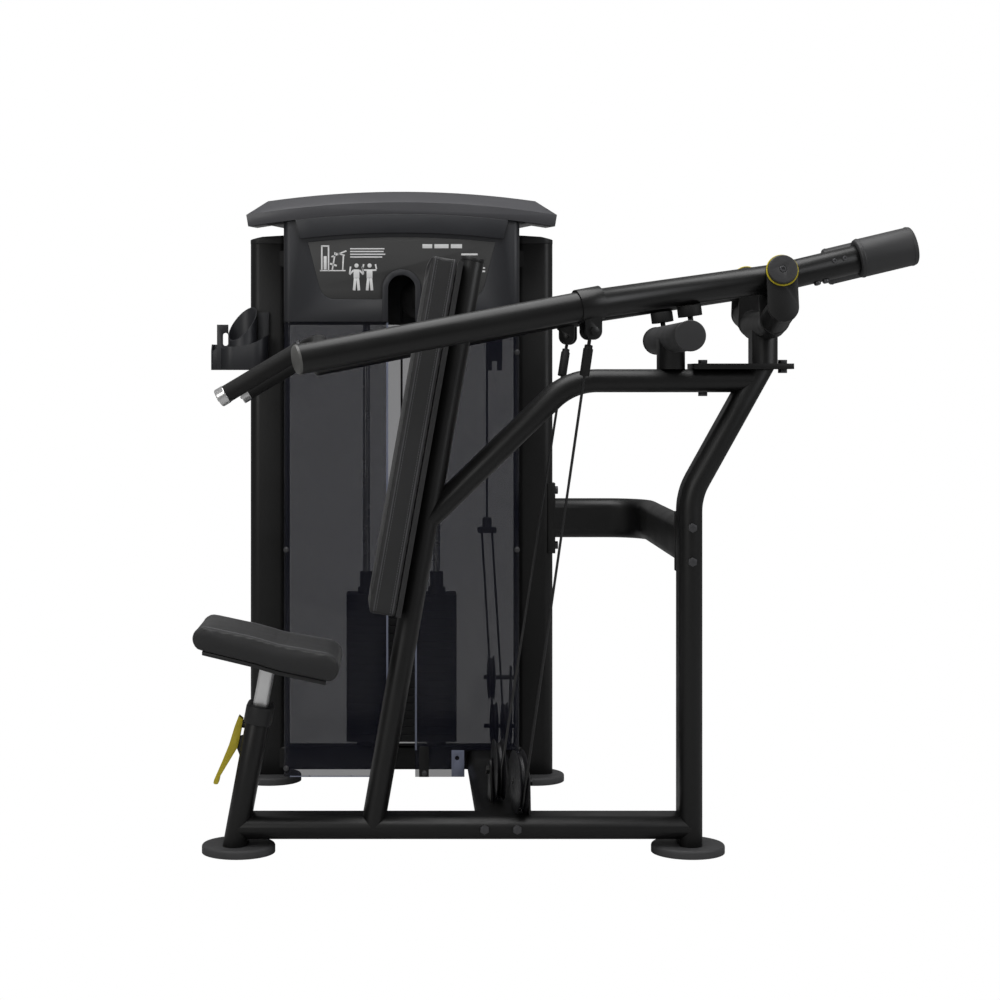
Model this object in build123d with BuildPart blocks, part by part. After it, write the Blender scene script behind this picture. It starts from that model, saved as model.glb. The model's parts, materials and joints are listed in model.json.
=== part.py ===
"""Selectorised shoulder press: a user station with two independent press arms and a weight tower.

Origin: centre of the underside of the front foot. +X runs from the seat to the arm pivots,
+Y runs from the user station to the weight tower, +Z is up. All sizes are in millimetres.
"""

from build123d import *
from math import acos, asin, atan2, cos, degrees, hypot, radians, sin, tan
import os

os.makedirs("parts", exist_ok=True)

# ---------------------------------------------------------------- driving dimensions
# Flat-oval frame tube
TUBE_WIDE = 54.0
TUBE_DEEP = 108.0
TUBE_WALL = 3.0
BEND_R = 150.0

# Fits
RUNNING = 0.05  # radial clearance of a shaft in its bore
GAP = 0.5  # between pieces that move past each other

# Feet
FOOT_R = 86.0
FOOT_T = 20.0
FOOT_EDGE = 6.0

# User station
RAIL_Z = 63.0
REAR_X = 1056.0
UPRIGHT_BEND_Z = 838.0
UPRIGHT_LEAN = 29.1
BEAM_Z = 1104.0
BEAM_BEND_X = 777.0
DIAGONAL_ANGLE = 44.0
BACK_POST_X = 319.3
BACK_LEAN = 10.0
BACK_POST_LEN = 1312.0
LINK_X = 613.0

# Seat
SEAT_LEAN = 10.5
SEAT_TUBE_LEN = 246.0
COLLAR_H = 44.0
SEAT_POST_WIDE = 34.0
SEAT_POST_DEEP = 84.0
SEAT_POST_TOP = 384.0
SEAT_TRAVEL = 150.0
SEAT_WIDTH = 270.0
SEAT_BOARD_T = 9.0
PIN_R = 6.0
PIN_Z = 294.0

# Back pad, measured square to the back post
PAD_START = 473.0
PAD_LEN = 831.0
PAD_T = 66.0
PAD_WIDTH = 270.0
SHELL_T = 7.0
SHELL_LIP = 16.0

# Weight tower
TOWER_X = 382.0
TOWER_Y = 870.0
POST_SPAN = 726.0
POST_TOP = 1481.0
BASE_Z0 = 33.0
BASE_Z1 = 98.0
TOP_BEAM_Z = 1440.0
SHROUD_HALF_X = 317.0
SHROUD_HALF_Y = 165.0
SHROUD_T = 4.0
SHROUD_Z0 = 40.0
HEAD_Z0 = 1262.0
SLOT_HALF = 36.5
CAP_HALF_X = 411.0
CAP_HALF_Y = 180.0
CAP_ARCH_R = 2501.0
CAP_UNDER_Z = 1551.0
CAP_T = 31.0
CAP_RISE = 35.0

# Weight stack
PLATE_WIDE = 302.0
PLATE_DEEP = 110.0
PLATE_T = 20.7
PLATE_PITCH = 21.2
PLATE_COUNT = 19
LIFTED_COUNT = 5
STACK_Z = 114.5
GUIDE_SPAN = 194.0
GUIDE_R = 9.5
ROD_TOP_Z = 1258.0
STEM_R = 12.5
PIN_HOLE_R = 5.5

# Pulleys and cables
CABLE_R = 3.0
BASE_PULLEY_R = 66.0  # to the middle of the cable
BASE_PULLEY_RISE = 75.0  # of the base pulleys' axles above the rail
NEAR_PULLEY = (657.0, 0.0)
FAR_PULLEY = (616.0, 150.0)
NEAR_YAW = 8.0
FAR_YAW = 4.0
TOWER_PULLEY_R = 61.0
TOWER_PULLEY_Y = 807.5
NEAR_RISE_X = 664.0
FAR_RISE_X = 635.0
GUIDE_PULLEY_R = 56.0
GUIDE_PULLEY_Z = 292.0
HEAD_PULLEY_R = 52.0
HEAD_PULLEY_Z = 1330.0
AXLE_R = 6.0
YOKE_X = 618.0
YOKE_Z = 683.0
YOKE_HALF = 14.0
STEM_TOP_Z = 578.0

# Arms: the pivot axes rise outwards so that the handles come together overhead
PIVOT = Vector(REAR_X + 174.0, -183.0, 1336.0)
PIVOT_TILT = 13.4
PRESS_ANGLE = 30.0
ARM_COLLAR = Vector(793.0, -310.0, 1271.0)
ARM_END = Vector(165.0, -490.0, 1149.0)
ARM_R = 32.0
ARM_WALL = 3.2
COLLAR_R = 37.5
COLLAR_LEN = 55.0
ARM_TAIL_SLOPE = 13.8
ARM_TAIL_LEN = 230.0
WEIGHT_START = 186.0
WEIGHT_LEN = 133.0
WEIGHT_R = 44.0
HUB_R = 34.5
HUB_LEN = 96.0
SHAFT_R = 12.5
YOKE_DROP = 83.0
CHEEK_T = 10.0
HANDLE_R = 16.0
HANDLE_BEND_R = 42.0
GRIP_R = 19.5
GRIP_LEN = 212.0
HANDLE_LOW = Vector(-17.0, -317.0, 1066.0)
HANDLE_TOP = Vector(205.0, -331.0, 1198.0)
CLEVIS_BOLT = Vector(797.0, -312.0, 1213.0)
CLEVIS_YAW = 16.2
CLEVIS_WIDE = 39.0
CLEVIS_INSIDE = 26.0
CLEVIS_T = 6.0
BOLT_R = 6.0
BALL_R = 10.5

# Bumper stop
BUMPER_X = REAR_X - 39.0
BUMPER_Z = 1203.0
BUMPER_HALF = 296.0
BUMPER_R = 33.0
BUMPER_PAD_R = 27.0
BUMPER_PAD_H = 25.0
STATION_POST_WIDE = 60.0
PLATE_Z0 = BEAM_Z + TUBE_WIDE / 2
PIVOT_PLATE_T = 13.0
PIVOT_PLATE_X0 = REAR_X + 4.0
PIVOT_PLATE_X1 = REAR_X + 235.0
PLATE_BOLT_X = (PIVOT_PLATE_X0 + 28.0, PIVOT_PLATE_X1 - 16.0)

RAIL_TOP = RAIL_Z + TUBE_WIDE / 2
BASE_PULLEY_Z = RAIL_TOP + BASE_PULLEY_RISE
SEAT_DIR = Vector(sin(radians(SEAT_LEAN)), 0, cos(radians(SEAT_LEAN)))
BACK_DIR = Vector(sin(radians(BACK_LEAN)), 0, cos(radians(BACK_LEAN)))
POST_LEFT_X = TOWER_X - POST_SPAN / 2
POST_RIGHT_X = TOWER_X + POST_SPAN / 2
TOWER_FRONT_Y = TOWER_Y - TUBE_WIDE / 2


# ---------------------------------------------------------------- shared shapes
def swept(path, plane, profile):
    """A solid swept along a path from a profile drawn on the plane at the path's start."""
    with BuildPart() as body:
        with BuildSketch(plane):
            add(profile)
        sweep(path=path)
    return body.part


def flat_oval(wide, deep, wall=0.0):
    """The tube's section, with the long side along the sketch's x."""
    with BuildSketch() as section:
        SlotOverall(deep, wide)
        if wall:
            SlotOverall(deep - 2 * wall, wide - 2 * wall, mode=Mode.SUBTRACT)
    return section.sketch


def bent_tube(points, long_side, wall=TUBE_WALL, radius=BEND_R):
    """A flat-oval tube along straight runs joined by arcs; a wall of 0 gives its solid outer shape."""
    with BuildLine() as path:
        if len(points) > 2:
            FilletPolyline(*points, radius=radius)
        else:
            Line(*points)
    start = Vector(*points[0])
    plane = Plane(origin=start, x_dir=long_side, z_dir=Vector(*points[1]) - start)
    return swept(path.wire(), plane, flat_oval(TUBE_WIDE, TUBE_DEEP, wall))


def rod(start, end, radius, bore=0.0):
    """A round bar or tube between two points."""
    axis = end - start
    with BuildPart() as bar:
        with BuildSketch(Plane(origin=start, z_dir=axis)):
            Circle(radius)
            if bore:
                Circle(bore, mode=Mode.SUBTRACT)
        extrude(amount=axis.length)
    return bar.part


def block(centre, size):
    """A plain box, for trimming and for small flat pieces."""
    with BuildPart() as box:
        with Locations(centre):
            Box(*size)
    return box.part


def prism(plane, points, thickness):
    """A flat plate of the given outline, centred on its plane."""
    with BuildPart() as plate:
        with BuildSketch(plane):
            with BuildLine():
                Polyline(*points, close=True)
            make_face()
        extrude(amount=thickness / 2, both=True)
    return plate.part


def pulley(centre, axis, groove_r, bore_r=AXLE_R + RUNNING, half_t=11.0, rim=4.0):
    """A grooved sheave with domed faces; groove_r is the radius to the middle of the cable."""
    bottom_r = groove_r - CABLE_R - GAP
    rim_r = groove_r + rim
    with BuildPart() as wheel:
        with BuildSketch(Plane.XZ):
            with BuildLine():
                Polyline(
                    (bore_r, -half_t - 2), (groove_r * 0.55, -half_t - 1), (rim_r, -half_t + 2),
                    (rim_r, 3 - half_t), (bottom_r, -CABLE_R - GAP), (bottom_r, CABLE_R + GAP),
                    (rim_r, half_t - 3), (rim_r, half_t - 2), (groove_r * 0.55, half_t + 1),
                    (bore_r, half_t + 2), close=True,
                )
            make_face()
        revolve(axis=Axis.Z)
    return Plane(origin=centre, z_dir=axis).location * wheel.part


def far_side(part):
    """The mirror image on the far side of the station's centre plane."""
    with BuildPart() as other:
        add(mirror(part, about=Plane.XZ, mode=Mode.PRIVATE))
    return other.part


def save(builder, label):
    """Names a finished piece and writes it."""
    builder.part.label = label
    export_step(builder.part, f"parts/{label}.step")


def hex_bolt(centre, axis, head_r=10.0, head_h=8.0, shank_r=6.0, shank=10.0):
    """A hexagon head standing on a surface, with its shank going in behind it."""
    with BuildPart() as bolt:
        with BuildSketch(Plane(origin=centre, z_dir=axis)):
            RegularPolygon(head_r, 6)
        extrude(amount=head_h)
        if shank:
            with BuildSketch(Plane(origin=centre, z_dir=-axis)):
                Circle(shank_r)
            extrude(amount=shank)
    return bolt.part


# ---------------------------------------------------------------- outer shapes used for trimming
seat_axis = Vector(0, 0, RAIL_Z)
seat_tube_outer = bent_tube([seat_axis - SEAT_DIR * 90, seat_axis + SEAT_DIR * SEAT_TUBE_LEN],
                            (0, 1, 0), wall=0)
rail_outer = bent_tube([(0, 0, RAIL_Z), (REAR_X, 0, RAIL_Z)], (0, 1, 0), wall=0)
slope_run = (PLATE_Z0 + 40 - UPRIGHT_BEND_Z) * tan(radians(UPRIGHT_LEAN))
upright_points = [(REAR_X, 0, FOOT_T), (REAR_X, 0, UPRIGHT_BEND_Z),
                  (REAR_X + slope_run, 0, PLATE_Z0 + 40)]
upright_outer = bent_tube(upright_points, (0, 1, 0), wall=0)
back_axis = Vector(BACK_POST_X, 0, RAIL_TOP)
back_post_outer = bent_tube([back_axis - BACK_DIR * 30, back_axis + BACK_DIR * BACK_POST_LEN],
                            (0, 1, 0), wall=0)

# The diagonal runs from the beam's bend down to the middle of the back post
drop_ratio = tan(radians(90 - DIAGONAL_ANGLE))
lean_ratio = tan(radians(BACK_LEAN))
diagonal_z = (BACK_POST_X - lean_ratio * RAIL_TOP - BEAM_BEND_X + drop_ratio * BEAM_Z) / (
    drop_ratio - lean_ratio)
diagonal_x = BEAM_BEND_X - (BEAM_Z - diagonal_z) * drop_ratio
beam_end_x = REAR_X + (BEAM_Z - UPRIGHT_BEND_Z) * tan(radians(UPRIGHT_LEAN))
beam_points = [(diagonal_x, 0, diagonal_z), (BEAM_BEND_X, 0, BEAM_Z), (beam_end_x, 0, BEAM_Z)]
base_outer = block((TOWER_X, TOWER_Y, (BASE_Z0 + BASE_Z1) / 2),
                   (POST_SPAN, TUBE_WIDE, BASE_Z1 - BASE_Z0))
post_outer = [bent_tube([(x, TOWER_Y, FOOT_T), (x, TOWER_Y, POST_TOP)], (1, 0, 0), wall=0)
              for x in (POST_LEFT_X, POST_RIGHT_X)]

# ---------------------------------------------------------------- user station frame
with BuildPart() as base_rail:
    add(bent_tube([(0, 0, RAIL_Z), (REAR_X, 0, RAIL_Z)], (0, 1, 0)))
    add(seat_tube_outer, mode=Mode.SUBTRACT)
    add(upright_outer, mode=Mode.SUBTRACT)
save(base_rail, "base_rail")

with BuildPart() as feet:
    for x, y in ((0, 0), (REAR_X - 3, 0), (POST_LEFT_X, TOWER_Y), (POST_RIGHT_X, TOWER_Y)):
        with BuildSketch(Plane.XY.shift_origin((x, y, 0))):
            Circle(FOOT_R)
        extrude(amount=FOOT_T)
    fillet(feet.edges().filter_by(GeomType.CIRCLE).group_by(Axis.Z)[-1], FOOT_EDGE)
save(feet, "feet")

with BuildPart() as upright:
    add(bent_tube(upright_points, (0, 1, 0)))
    split(bisect_by=Plane.XY.offset(PLATE_Z0), keep=Keep.BOTTOM)
save(upright, "upright")

with BuildPart() as top_beam:
    add(bent_tube(beam_points, (0, 1, 0)))
    add(upright_outer, mode=Mode.SUBTRACT)
    add(back_post_outer, mode=Mode.SUBTRACT)
save(top_beam, "top_beam")

with BuildPart() as back_post:
    add(bent_tube([back_axis - BACK_DIR * 30, back_axis + BACK_DIR * BACK_POST_LEN], (0, 1, 0)))
    add(rail_outer, mode=Mode.SUBTRACT)
    split(bisect_by=Plane.XY.offset(RAIL_Z), keep=Keep.TOP)
save(back_post, "back_post")

with BuildPart() as lower_link:
    add(bent_tube([(LINK_X, 0, RAIL_Z), (LINK_X, TOWER_Y, RAIL_Z)], (1, 0, 0)))
    add(rail_outer, mode=Mode.SUBTRACT)
    add(base_outer, mode=Mode.SUBTRACT)
save(lower_link, "lower_link")

CROSS_Z = 725.0
CROSS_BEND_R = 110.0
SADDLE_H = 193.0
SADDLE_X1 = POST_RIGHT_X + TUBE_DEEP / 2 + 6
with BuildPart() as cross_arm:
    add(bent_tube([(SADDLE_X1, TOWER_Y, CROSS_Z), (REAR_X, TOWER_Y, CROSS_Z), (REAR_X, 60, CROSS_Z)],
                  (0, 0, 1), radius=CROSS_BEND_R))
    with Locations((SADDLE_X1 - 10, TOWER_Y, CROSS_Z), (REAR_X, 48, CROSS_Z)):
        Box(20, 54, SADDLE_H)
    with Locations((REAR_X, 48, CROSS_Z)):
        Box(54, 24, 140)
    add(post_outer[1], mode=Mode.SUBTRACT)
    add(upright_outer, mode=Mode.SUBTRACT)
save(cross_arm, "cross_arm")

# ---------------------------------------------------------------- pivot stand, yoke and pins
PIVOT_POST_X = PIVOT.X - 1.0
YOKE_TUBE_R = 33.0
YOKE_CENTRE_Z = 1234.0
INNER_Y = 112.0
tilt = radians(PIVOT_TILT)
pivot_axis = Vector(0, -cos(tilt), sin(tilt))
pivot_up = Vector(0, sin(tilt), cos(tilt))
hub_half = HUB_LEN / 2
cheek_at = hub_half + GAP + CHEEK_T / 2
wing_root = PIVOT - pivot_up * YOKE_DROP
pivot_plane = Plane(origin=PIVOT, x_dir=(1, 0, 0), z_dir=pivot_axis)


def cheek(offset):
    """A round-ended plate square to the pivot axis, from the wing tube up to the arm's pivot."""
    with BuildPart() as plate:
        with BuildSketch(pivot_plane.offset(offset)):
            with Locations((0, -YOKE_DROP / 2)):
                SlotCenterToCenter(YOKE_DROP, 2 * HUB_R, rotation=90)
            Circle(SHAFT_R, mode=Mode.SUBTRACT)
        extrude(amount=CHEEK_T / 2, both=True)
    return plate.part


with BuildPart() as pivot_stand:
    with Locations(((PIVOT_PLATE_X0 + PIVOT_PLATE_X1) / 2, 0, PLATE_Z0 + PIVOT_PLATE_T / 2)):
        Box(PIVOT_PLATE_X1 - PIVOT_PLATE_X0, 120, PIVOT_PLATE_T)
    with BuildSketch(Plane.XY.offset(PLATE_Z0 + PIVOT_PLATE_T)):
        with Locations((PIVOT_POST_X, 0)):
            SlotOverall(TUBE_DEEP, STATION_POST_WIDE, rotation=90)
            SlotOverall(TUBE_DEEP - 8, STATION_POST_WIDE - 8, rotation=90, mode=Mode.SUBTRACT)
    extrude(amount=YOKE_CENTRE_Z - PLATE_Z0 - PIVOT_PLATE_T)
    add(rod(Vector(PIVOT.X, -200, YOKE_CENTRE_Z), Vector(PIVOT.X, 200, YOKE_CENTRE_Z), YOKE_TUBE_R),
        mode=Mode.SUBTRACT)
save(pivot_stand, "pivot_stand")

with BuildPart() as near_yoke:
    elbow = Vector(PIVOT.X, -INNER_Y, YOKE_CENTRE_Z)
    middle = Vector(PIVOT.X, 0, YOKE_CENTRE_Z)
    outer = wing_root + pivot_axis * (cheek_at - CHEEK_T / 2)
    for radius, mode in ((YOKE_TUBE_R, Mode.ADD), (YOKE_TUBE_R - 5, Mode.SUBTRACT)):
        add(rod(middle, elbow, radius), mode=mode)
        add(rod(elbow, outer, radius), mode=mode)
        with Locations(elbow):
            Sphere(radius, mode=mode)
    add(cheek(-cheek_at))
    add(cheek(cheek_at))
with BuildPart() as pivot_yoke:
    add(near_yoke.part)
    add(far_side(near_yoke.part))
save(pivot_yoke, "pivot_yoke")

KNOB_R = 33.0
RING_R = 34.5
pin_end = cheek_at + CHEEK_T / 2
with BuildPart() as near_pin:
    add(rod(PIVOT - pivot_axis * pin_end, PIVOT + pivot_axis * pin_end, SHAFT_R))
    with BuildSketch(pivot_plane.offset(pin_end)):
        Circle(RING_R)
    extrude(amount=2)
    with BuildSketch(pivot_plane.offset(pin_end + 2)):
        Circle(KNOB_R)
    extrude(amount=12)
    fillet(near_pin.faces().sort_by(Axis(PIVOT, pivot_axis))[-1].edges(), 3)
    with BuildSketch(pivot_plane.offset(pin_end + 14)):
        Circle(8)
    extrude(amount=-4, mode=Mode.SUBTRACT)
with BuildPart() as pivot_pins:
    add(near_pin.part)
    add(far_side(near_pin.part))
save(pivot_pins, "pivot_pins")

# ---------------------------------------------------------------- bumper stop
pad_spot = PIVOT + (ARM_COLLAR - PIVOT) * ((PIVOT.X - BUMPER_X) / (PIVOT.X - ARM_COLLAR.X))
arm_line = (ARM_COLLAR - PIVOT).normalized()
pad_normal = (arm_line.cross(Vector(-arm_line.Y, arm_line.X, 0).normalized())).normalized()
if pad_normal.Z < 0:
    pad_normal = -pad_normal
pad_top = pad_spot - pad_normal * (ARM_R + GAP)
pad_bottom = pad_top - pad_normal * BUMPER_PAD_H
stud_foot = pad_bottom - pad_normal * 60

with BuildPart() as bumper_bar:
    add(rod(Vector(BUMPER_X, -BUMPER_HALF, BUMPER_Z), Vector(BUMPER_X, BUMPER_HALF, BUMPER_Z),
            BUMPER_R, BUMPER_R - 4))
    with Locations((BUMPER_X, -BUMPER_HALF, BUMPER_Z), (BUMPER_X, BUMPER_HALF, BUMPER_Z)):
        Cylinder(BUMPER_R + 1.5, 8, rotation=(90, 0, 0))
    with BuildSketch(Plane.XY.offset(PLATE_Z0)):
        with Locations((BUMPER_X - 4, 0)):
            SlotOverall(TUBE_DEEP, STATION_POST_WIDE, rotation=90)
    extrude(amount=BUMPER_Z - PLATE_Z0)
    add(bent_tube(beam_points, (0, 1, 0), wall=0), mode=Mode.SUBTRACT)
    for side in (-1, 1):
        foot = Vector(stud_foot.X, -side * stud_foot.Y, stud_foot.Z)
        top = Vector(pad_bottom.X, -side * pad_bottom.Y, pad_bottom.Z)
        add(rod(foot, top, 6))
        lift = (top - foot).normalized()
        with BuildSketch(Plane(origin=top - lift * 20, z_dir=lift)):
            RegularPolygon(12, 6)
        extrude(amount=8)
save(bumper_bar, "bumper_bar")

with BuildPart() as rubber_buffers:
    for side in (-1, 1):
        foot = Vector(pad_bottom.X, -side * pad_bottom.Y, pad_bottom.Z)
        top = Vector(pad_top.X, -side * pad_top.Y, pad_top.Z)
        add(rod(foot, top, BUMPER_PAD_R))
    with Locations(*[(TOWER_X + s * GUIDE_SPAN / 2, TOWER_Y, (BASE_Z1 + STACK_Z) / 2) for s in (-1, 1)]):
        Cylinder(26, STACK_Z - BASE_Z1 - 0.3)
    with Locations(*[(TOWER_X + s * GUIDE_SPAN / 2, TOWER_Y, (BASE_Z1 + STACK_Z) / 2) for s in (-1, 1)]):
        Cylinder(GUIDE_R, STACK_Z - BASE_Z1 + 2, mode=Mode.SUBTRACT)
save(rubber_buffers, "rubber_buffers")

# ---------------------------------------------------------------- seat
def seat_face(height):
    """X of the seat tube's front face at a height."""
    return (height - RAIL_Z) * tan(radians(SEAT_LEAN)) - TUBE_WIDE / 2 / cos(radians(SEAT_LEAN))


seat_cross = Vector(cos(radians(SEAT_LEAN)), 0, -sin(radians(SEAT_LEAN)))
seat_plane = Plane(origin=seat_axis, x_dir=(0, 1, 0), z_dir=SEAT_DIR)
pin_point = seat_axis + SEAT_DIR * ((PIN_Z - RAIL_Z) / SEAT_DIR.Z)
LEVER_Z = 262.0
LEVER_OFF = 13.42  # of the lever's pin in front of the seat tube
LEVER_HALF = 14.0
BRACKET_T = 4.0
LEVER_PIN_R = 3.5
LUG_R = 6.4
LEVER_PIVOT = Vector(seat_face(LEVER_Z) - LEVER_OFF, 0, LEVER_Z)
side_view = Plane(origin=(0, 0, 0), x_dir=(1, 0, 0), z_dir=(0, -1, 0))


def by_lever(*points):
    """Places given from the lever's pin, as X and Z."""
    return [(LEVER_PIVOT.X + x, LEVER_PIVOT.Z + z) for x, z in points]


with BuildPart() as seat_tube:
    add(bent_tube([seat_axis - SEAT_DIR * 90, seat_axis + SEAT_DIR * SEAT_TUBE_LEN], (0, 1, 0)))
    split(bisect_by=Plane.XY.offset(FOOT_T), keep=Keep.TOP)
    for y in (-LEVER_HALF + 6, LEVER_HALF - 6):
        add(prism(side_view.offset(-y),
                  [(seat_face(274) + 2, 274), (LEVER_PIVOT.X, LEVER_PIVOT.Z + LUG_R),
                   (LEVER_PIVOT.X - LUG_R, LEVER_PIVOT.Z), (LEVER_PIVOT.X - 4.5, LEVER_PIVOT.Z - 4.5),
                   (seat_face(224) + 2, 224)], BRACKET_T))
        add(rod(Vector(LEVER_PIVOT.X, y - BRACKET_T / 2, LEVER_PIVOT.Z),
                Vector(LEVER_PIVOT.X, y + BRACKET_T / 2, LEVER_PIVOT.Z), LUG_R))
    add(rod(pin_point - seat_cross * (TUBE_WIDE / 2 + 7), pin_point - seat_cross * 15, 9.5))
    add(rod(pin_point - seat_cross * (TUBE_WIDE / 2 + 7), pin_point - seat_cross * 10, PIN_R),
        mode=Mode.SUBTRACT)
    add(seat_plane.location * block((0, 0, SEAT_TUBE_LEN / 2 - 45),
                                    (TUBE_DEEP - 2 * TUBE_WALL - 30, TUBE_WIDE - 2 * TUBE_WALL,
                                     SEAT_TUBE_LEN + 170)), mode=Mode.SUBTRACT)
    with BuildSketch(side_view.offset(-60)):
        with Locations((LEVER_PIVOT.X, LEVER_PIVOT.Z)):
            Circle(LEVER_PIN_R + RUNNING)
    extrude(amount=120, mode=Mode.SUBTRACT)
save(seat_tube, "seat_tube")

with BuildPart() as seat_collar:
    with BuildSketch(seat_plane.offset(SEAT_TUBE_LEN)):
        SlotOverall(TUBE_DEEP + 10, TUBE_WIDE + 10)
    extrude(amount=COLLAR_H)
    fillet(seat_collar.faces().sort_by(Axis(seat_axis, SEAT_DIR))[-1].edges(), 7)
    with BuildSketch(seat_plane.offset(SEAT_TUBE_LEN)):
        SlotOverall(TUBE_DEEP - 2 * TUBE_WALL - 0.4, TUBE_WIDE - 2 * TUBE_WALL - 0.4)
    extrude(amount=-24)
    with BuildSketch(seat_plane.offset(SEAT_TUBE_LEN - 30)):
        RectangleRounded(SEAT_POST_DEEP + 2 * GAP, SEAT_POST_WIDE + 2 * GAP, 10 + GAP)
    extrude(amount=COLLAR_H + 40, mode=Mode.SUBTRACT)
    add(rod(pin_point - seat_cross * (TUBE_WIDE / 2), pin_point, PIN_R + GAP), mode=Mode.SUBTRACT)
save(seat_collar, "seat_collar")

# Side outline of the seat: the front rises, a gentle step in the middle, the rear drops to the pad
seat_top = [(-68, 543.5), (41, 520.5), (102, 502.6), (214, 482.5)]
seat_under = [(219, 415), (99, 440.8), (41, 458.5), (-80, 487.5)]


def seat_outline(top, under, depth):
    """The pad's side outline, rounded at both ends, drawn on the station's centre plane."""
    with BuildPart() as pad:
        with BuildSketch(side_view):
            with BuildLine():
                Polyline(*top)
                ThreePointArc(top[-1], (240, 455), under[0])
                Polyline(*under)
                ThreePointArc(under[-1], (-97.5, 515), top[0])
            make_face()
        extrude(amount=depth / 2, both=True)
    return pad.part


with BuildPart() as seat_pad:
    add(seat_outline(seat_top, seat_under, SEAT_WIDTH))
    fillet(seat_pad.edges().filter_by(Axis.Y).group_by(Axis.Z)[-1], 12)
save(seat_pad, "seat_pad")


def along(start, end, share):
    """A point part of the way from one point to another."""
    return tuple(a + (b - a) * share for a, b in zip(start, end))


board_front = along(seat_under[0], seat_under[1], 0.09)
board_rear = along(seat_under[3], seat_under[2], 0.05)
board_low = [(x, z - SEAT_BOARD_T) for x, z in (board_rear, seat_under[2], seat_under[1], board_front)]
with BuildPart() as seat_board:
    with BuildSketch(side_view):
        with BuildLine():
            Polyline(board_front, *seat_under[1:3], board_rear, *board_low, close=True)
        make_face()
    extrude(amount=SEAT_WIDTH / 2 - 8, both=True)
save(seat_board, "seat_board")

SEAT_PLATE_T = 5.0
with BuildPart() as seat_post:
    with BuildSketch(seat_plane.offset(30)):
        RectangleRounded(SEAT_POST_DEEP, SEAT_POST_WIDE, 10)
        RectangleRounded(SEAT_POST_DEEP - 6, SEAT_POST_WIDE - 6, 7, mode=Mode.SUBTRACT)
    extrude(amount=SEAT_POST_TOP - 30 + 20)
    add(prism(side_view, [(board_low[0][0], 600), (board_low[3][0], 600)] + board_low[::-1], 400),
        mode=Mode.SUBTRACT)
    plate_top = [along(board_low[0], board_low[1], 0.14)] + board_low[1:3]
    add(prism(side_view, plate_top + [(x, z - SEAT_PLATE_T) for x, z in plate_top[::-1]], 130))
    for step in range(7):
        hole_at = pin_point - SEAT_DIR * (step * SEAT_TRAVEL / 6)
        add(rod(hole_at - seat_cross * 40, hole_at, PIN_R + 0.3), mode=Mode.SUBTRACT)
save(seat_post, "seat_post")

with BuildPart() as seat_lever:
    add(prism(side_view, by_lever((5, 58), (15, 50), (9.5, 20), (7, 5), (2, -16), (-10, -36),
                                  (-39, -84), (-43, -101.5), (-55, -101.5), (-52.5, -91), (-34, -49),
                                  (-17.5, -9), (-4, 35)), 2 * LEVER_HALF))
    fillet(seat_lever.edges().filter_by(Axis.Y).group_by(Axis.Z)[0], 4)
    add(prism(side_view, by_lever((34, 73), (34, -122), (-22, -122), (-40, -72), (-26, -40), (-9, -3),
                                  (3, 35), (10, 68)), 2 * LEVER_HALF - 6), mode=Mode.SUBTRACT)
    add(rod(Vector(LEVER_PIVOT.X, -LEVER_HALF - 1, LEVER_PIVOT.Z),
            Vector(LEVER_PIVOT.X, LEVER_HALF + 1, LEVER_PIVOT.Z), LEVER_PIN_R))
save(seat_lever, "seat_lever")

with BuildPart() as pop_pin:
    add(rod(pin_point - seat_cross * (TUBE_WIDE / 2 + 9), pin_point - seat_cross * (SEAT_POST_WIDE / 2 + GAP),
            PIN_R - RUNNING))
    add(rod(pin_point - seat_cross * (TUBE_WIDE / 2 + 12.5),
            pin_point - seat_cross * (TUBE_WIDE / 2 + 8), 8))
save(pop_pin, "pop_pin")

# ---------------------------------------------------------------- back rest
back_plane = Plane(origin=back_axis, x_dir=(cos(radians(BACK_LEAN)), 0, -sin(radians(BACK_LEAN))),
                   z_dir=(0, -1, 0))
pad_rear = -TUBE_WIDE / 2 - SHELL_T
PAD_EDGE = 9.0

with BuildPart() as back_pad:
    with BuildSketch(back_plane):
        with Locations((pad_rear - PAD_T / 2, PAD_START + PAD_LEN / 2)):
            Rectangle(PAD_T, PAD_LEN)
    extrude(amount=PAD_WIDTH / 2, both=True)
    fillet(back_pad.faces().sort_by(Axis.X)[0].edges(), PAD_EDGE)
save(back_pad, "back_pad")

with BuildPart() as back_shell:
    with BuildSketch(back_plane):
        with Locations((pad_rear + (SHELL_T + SHELL_LIP) / 2, PAD_START + PAD_LEN / 2)):
            Rectangle(SHELL_T + SHELL_LIP, PAD_LEN - 6)
    extrude(amount=PAD_WIDTH / 2 - 3, both=True)
    with BuildSketch(back_plane):
        with Locations((pad_rear + SHELL_T + SHELL_LIP, PAD_START + PAD_LEN / 2)):
            Rectangle(2 * SHELL_LIP, PAD_LEN - 30)
    extrude(amount=PAD_WIDTH / 2 - 14, both=True, mode=Mode.SUBTRACT)
    add(back_post_outer, mode=Mode.SUBTRACT)
save(back_shell, "back_shell")

# ---------------------------------------------------------------- weight tower frame
with BuildPart() as tower_base:
    with BuildSketch(Plane.YZ.offset(POST_LEFT_X)):
        with Locations((TOWER_Y, (BASE_Z0 + BASE_Z1) / 2)):
            RectangleRounded(TUBE_WIDE, BASE_Z1 - BASE_Z0, 8)
            RectangleRounded(TUBE_WIDE - 6, BASE_Z1 - BASE_Z0 - 6, 5, mode=Mode.SUBTRACT)
    extrude(amount=POST_SPAN)
    for post in post_outer:
        add(post, mode=Mode.SUBTRACT)
    with Locations(*[(TOWER_X + s * GUIDE_SPAN / 2, TOWER_Y, BASE_Z1) for s in (-1, 1)]):
        Cylinder(GUIDE_R, 30, mode=Mode.SUBTRACT)
save(tower_base, "tower_base")

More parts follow.
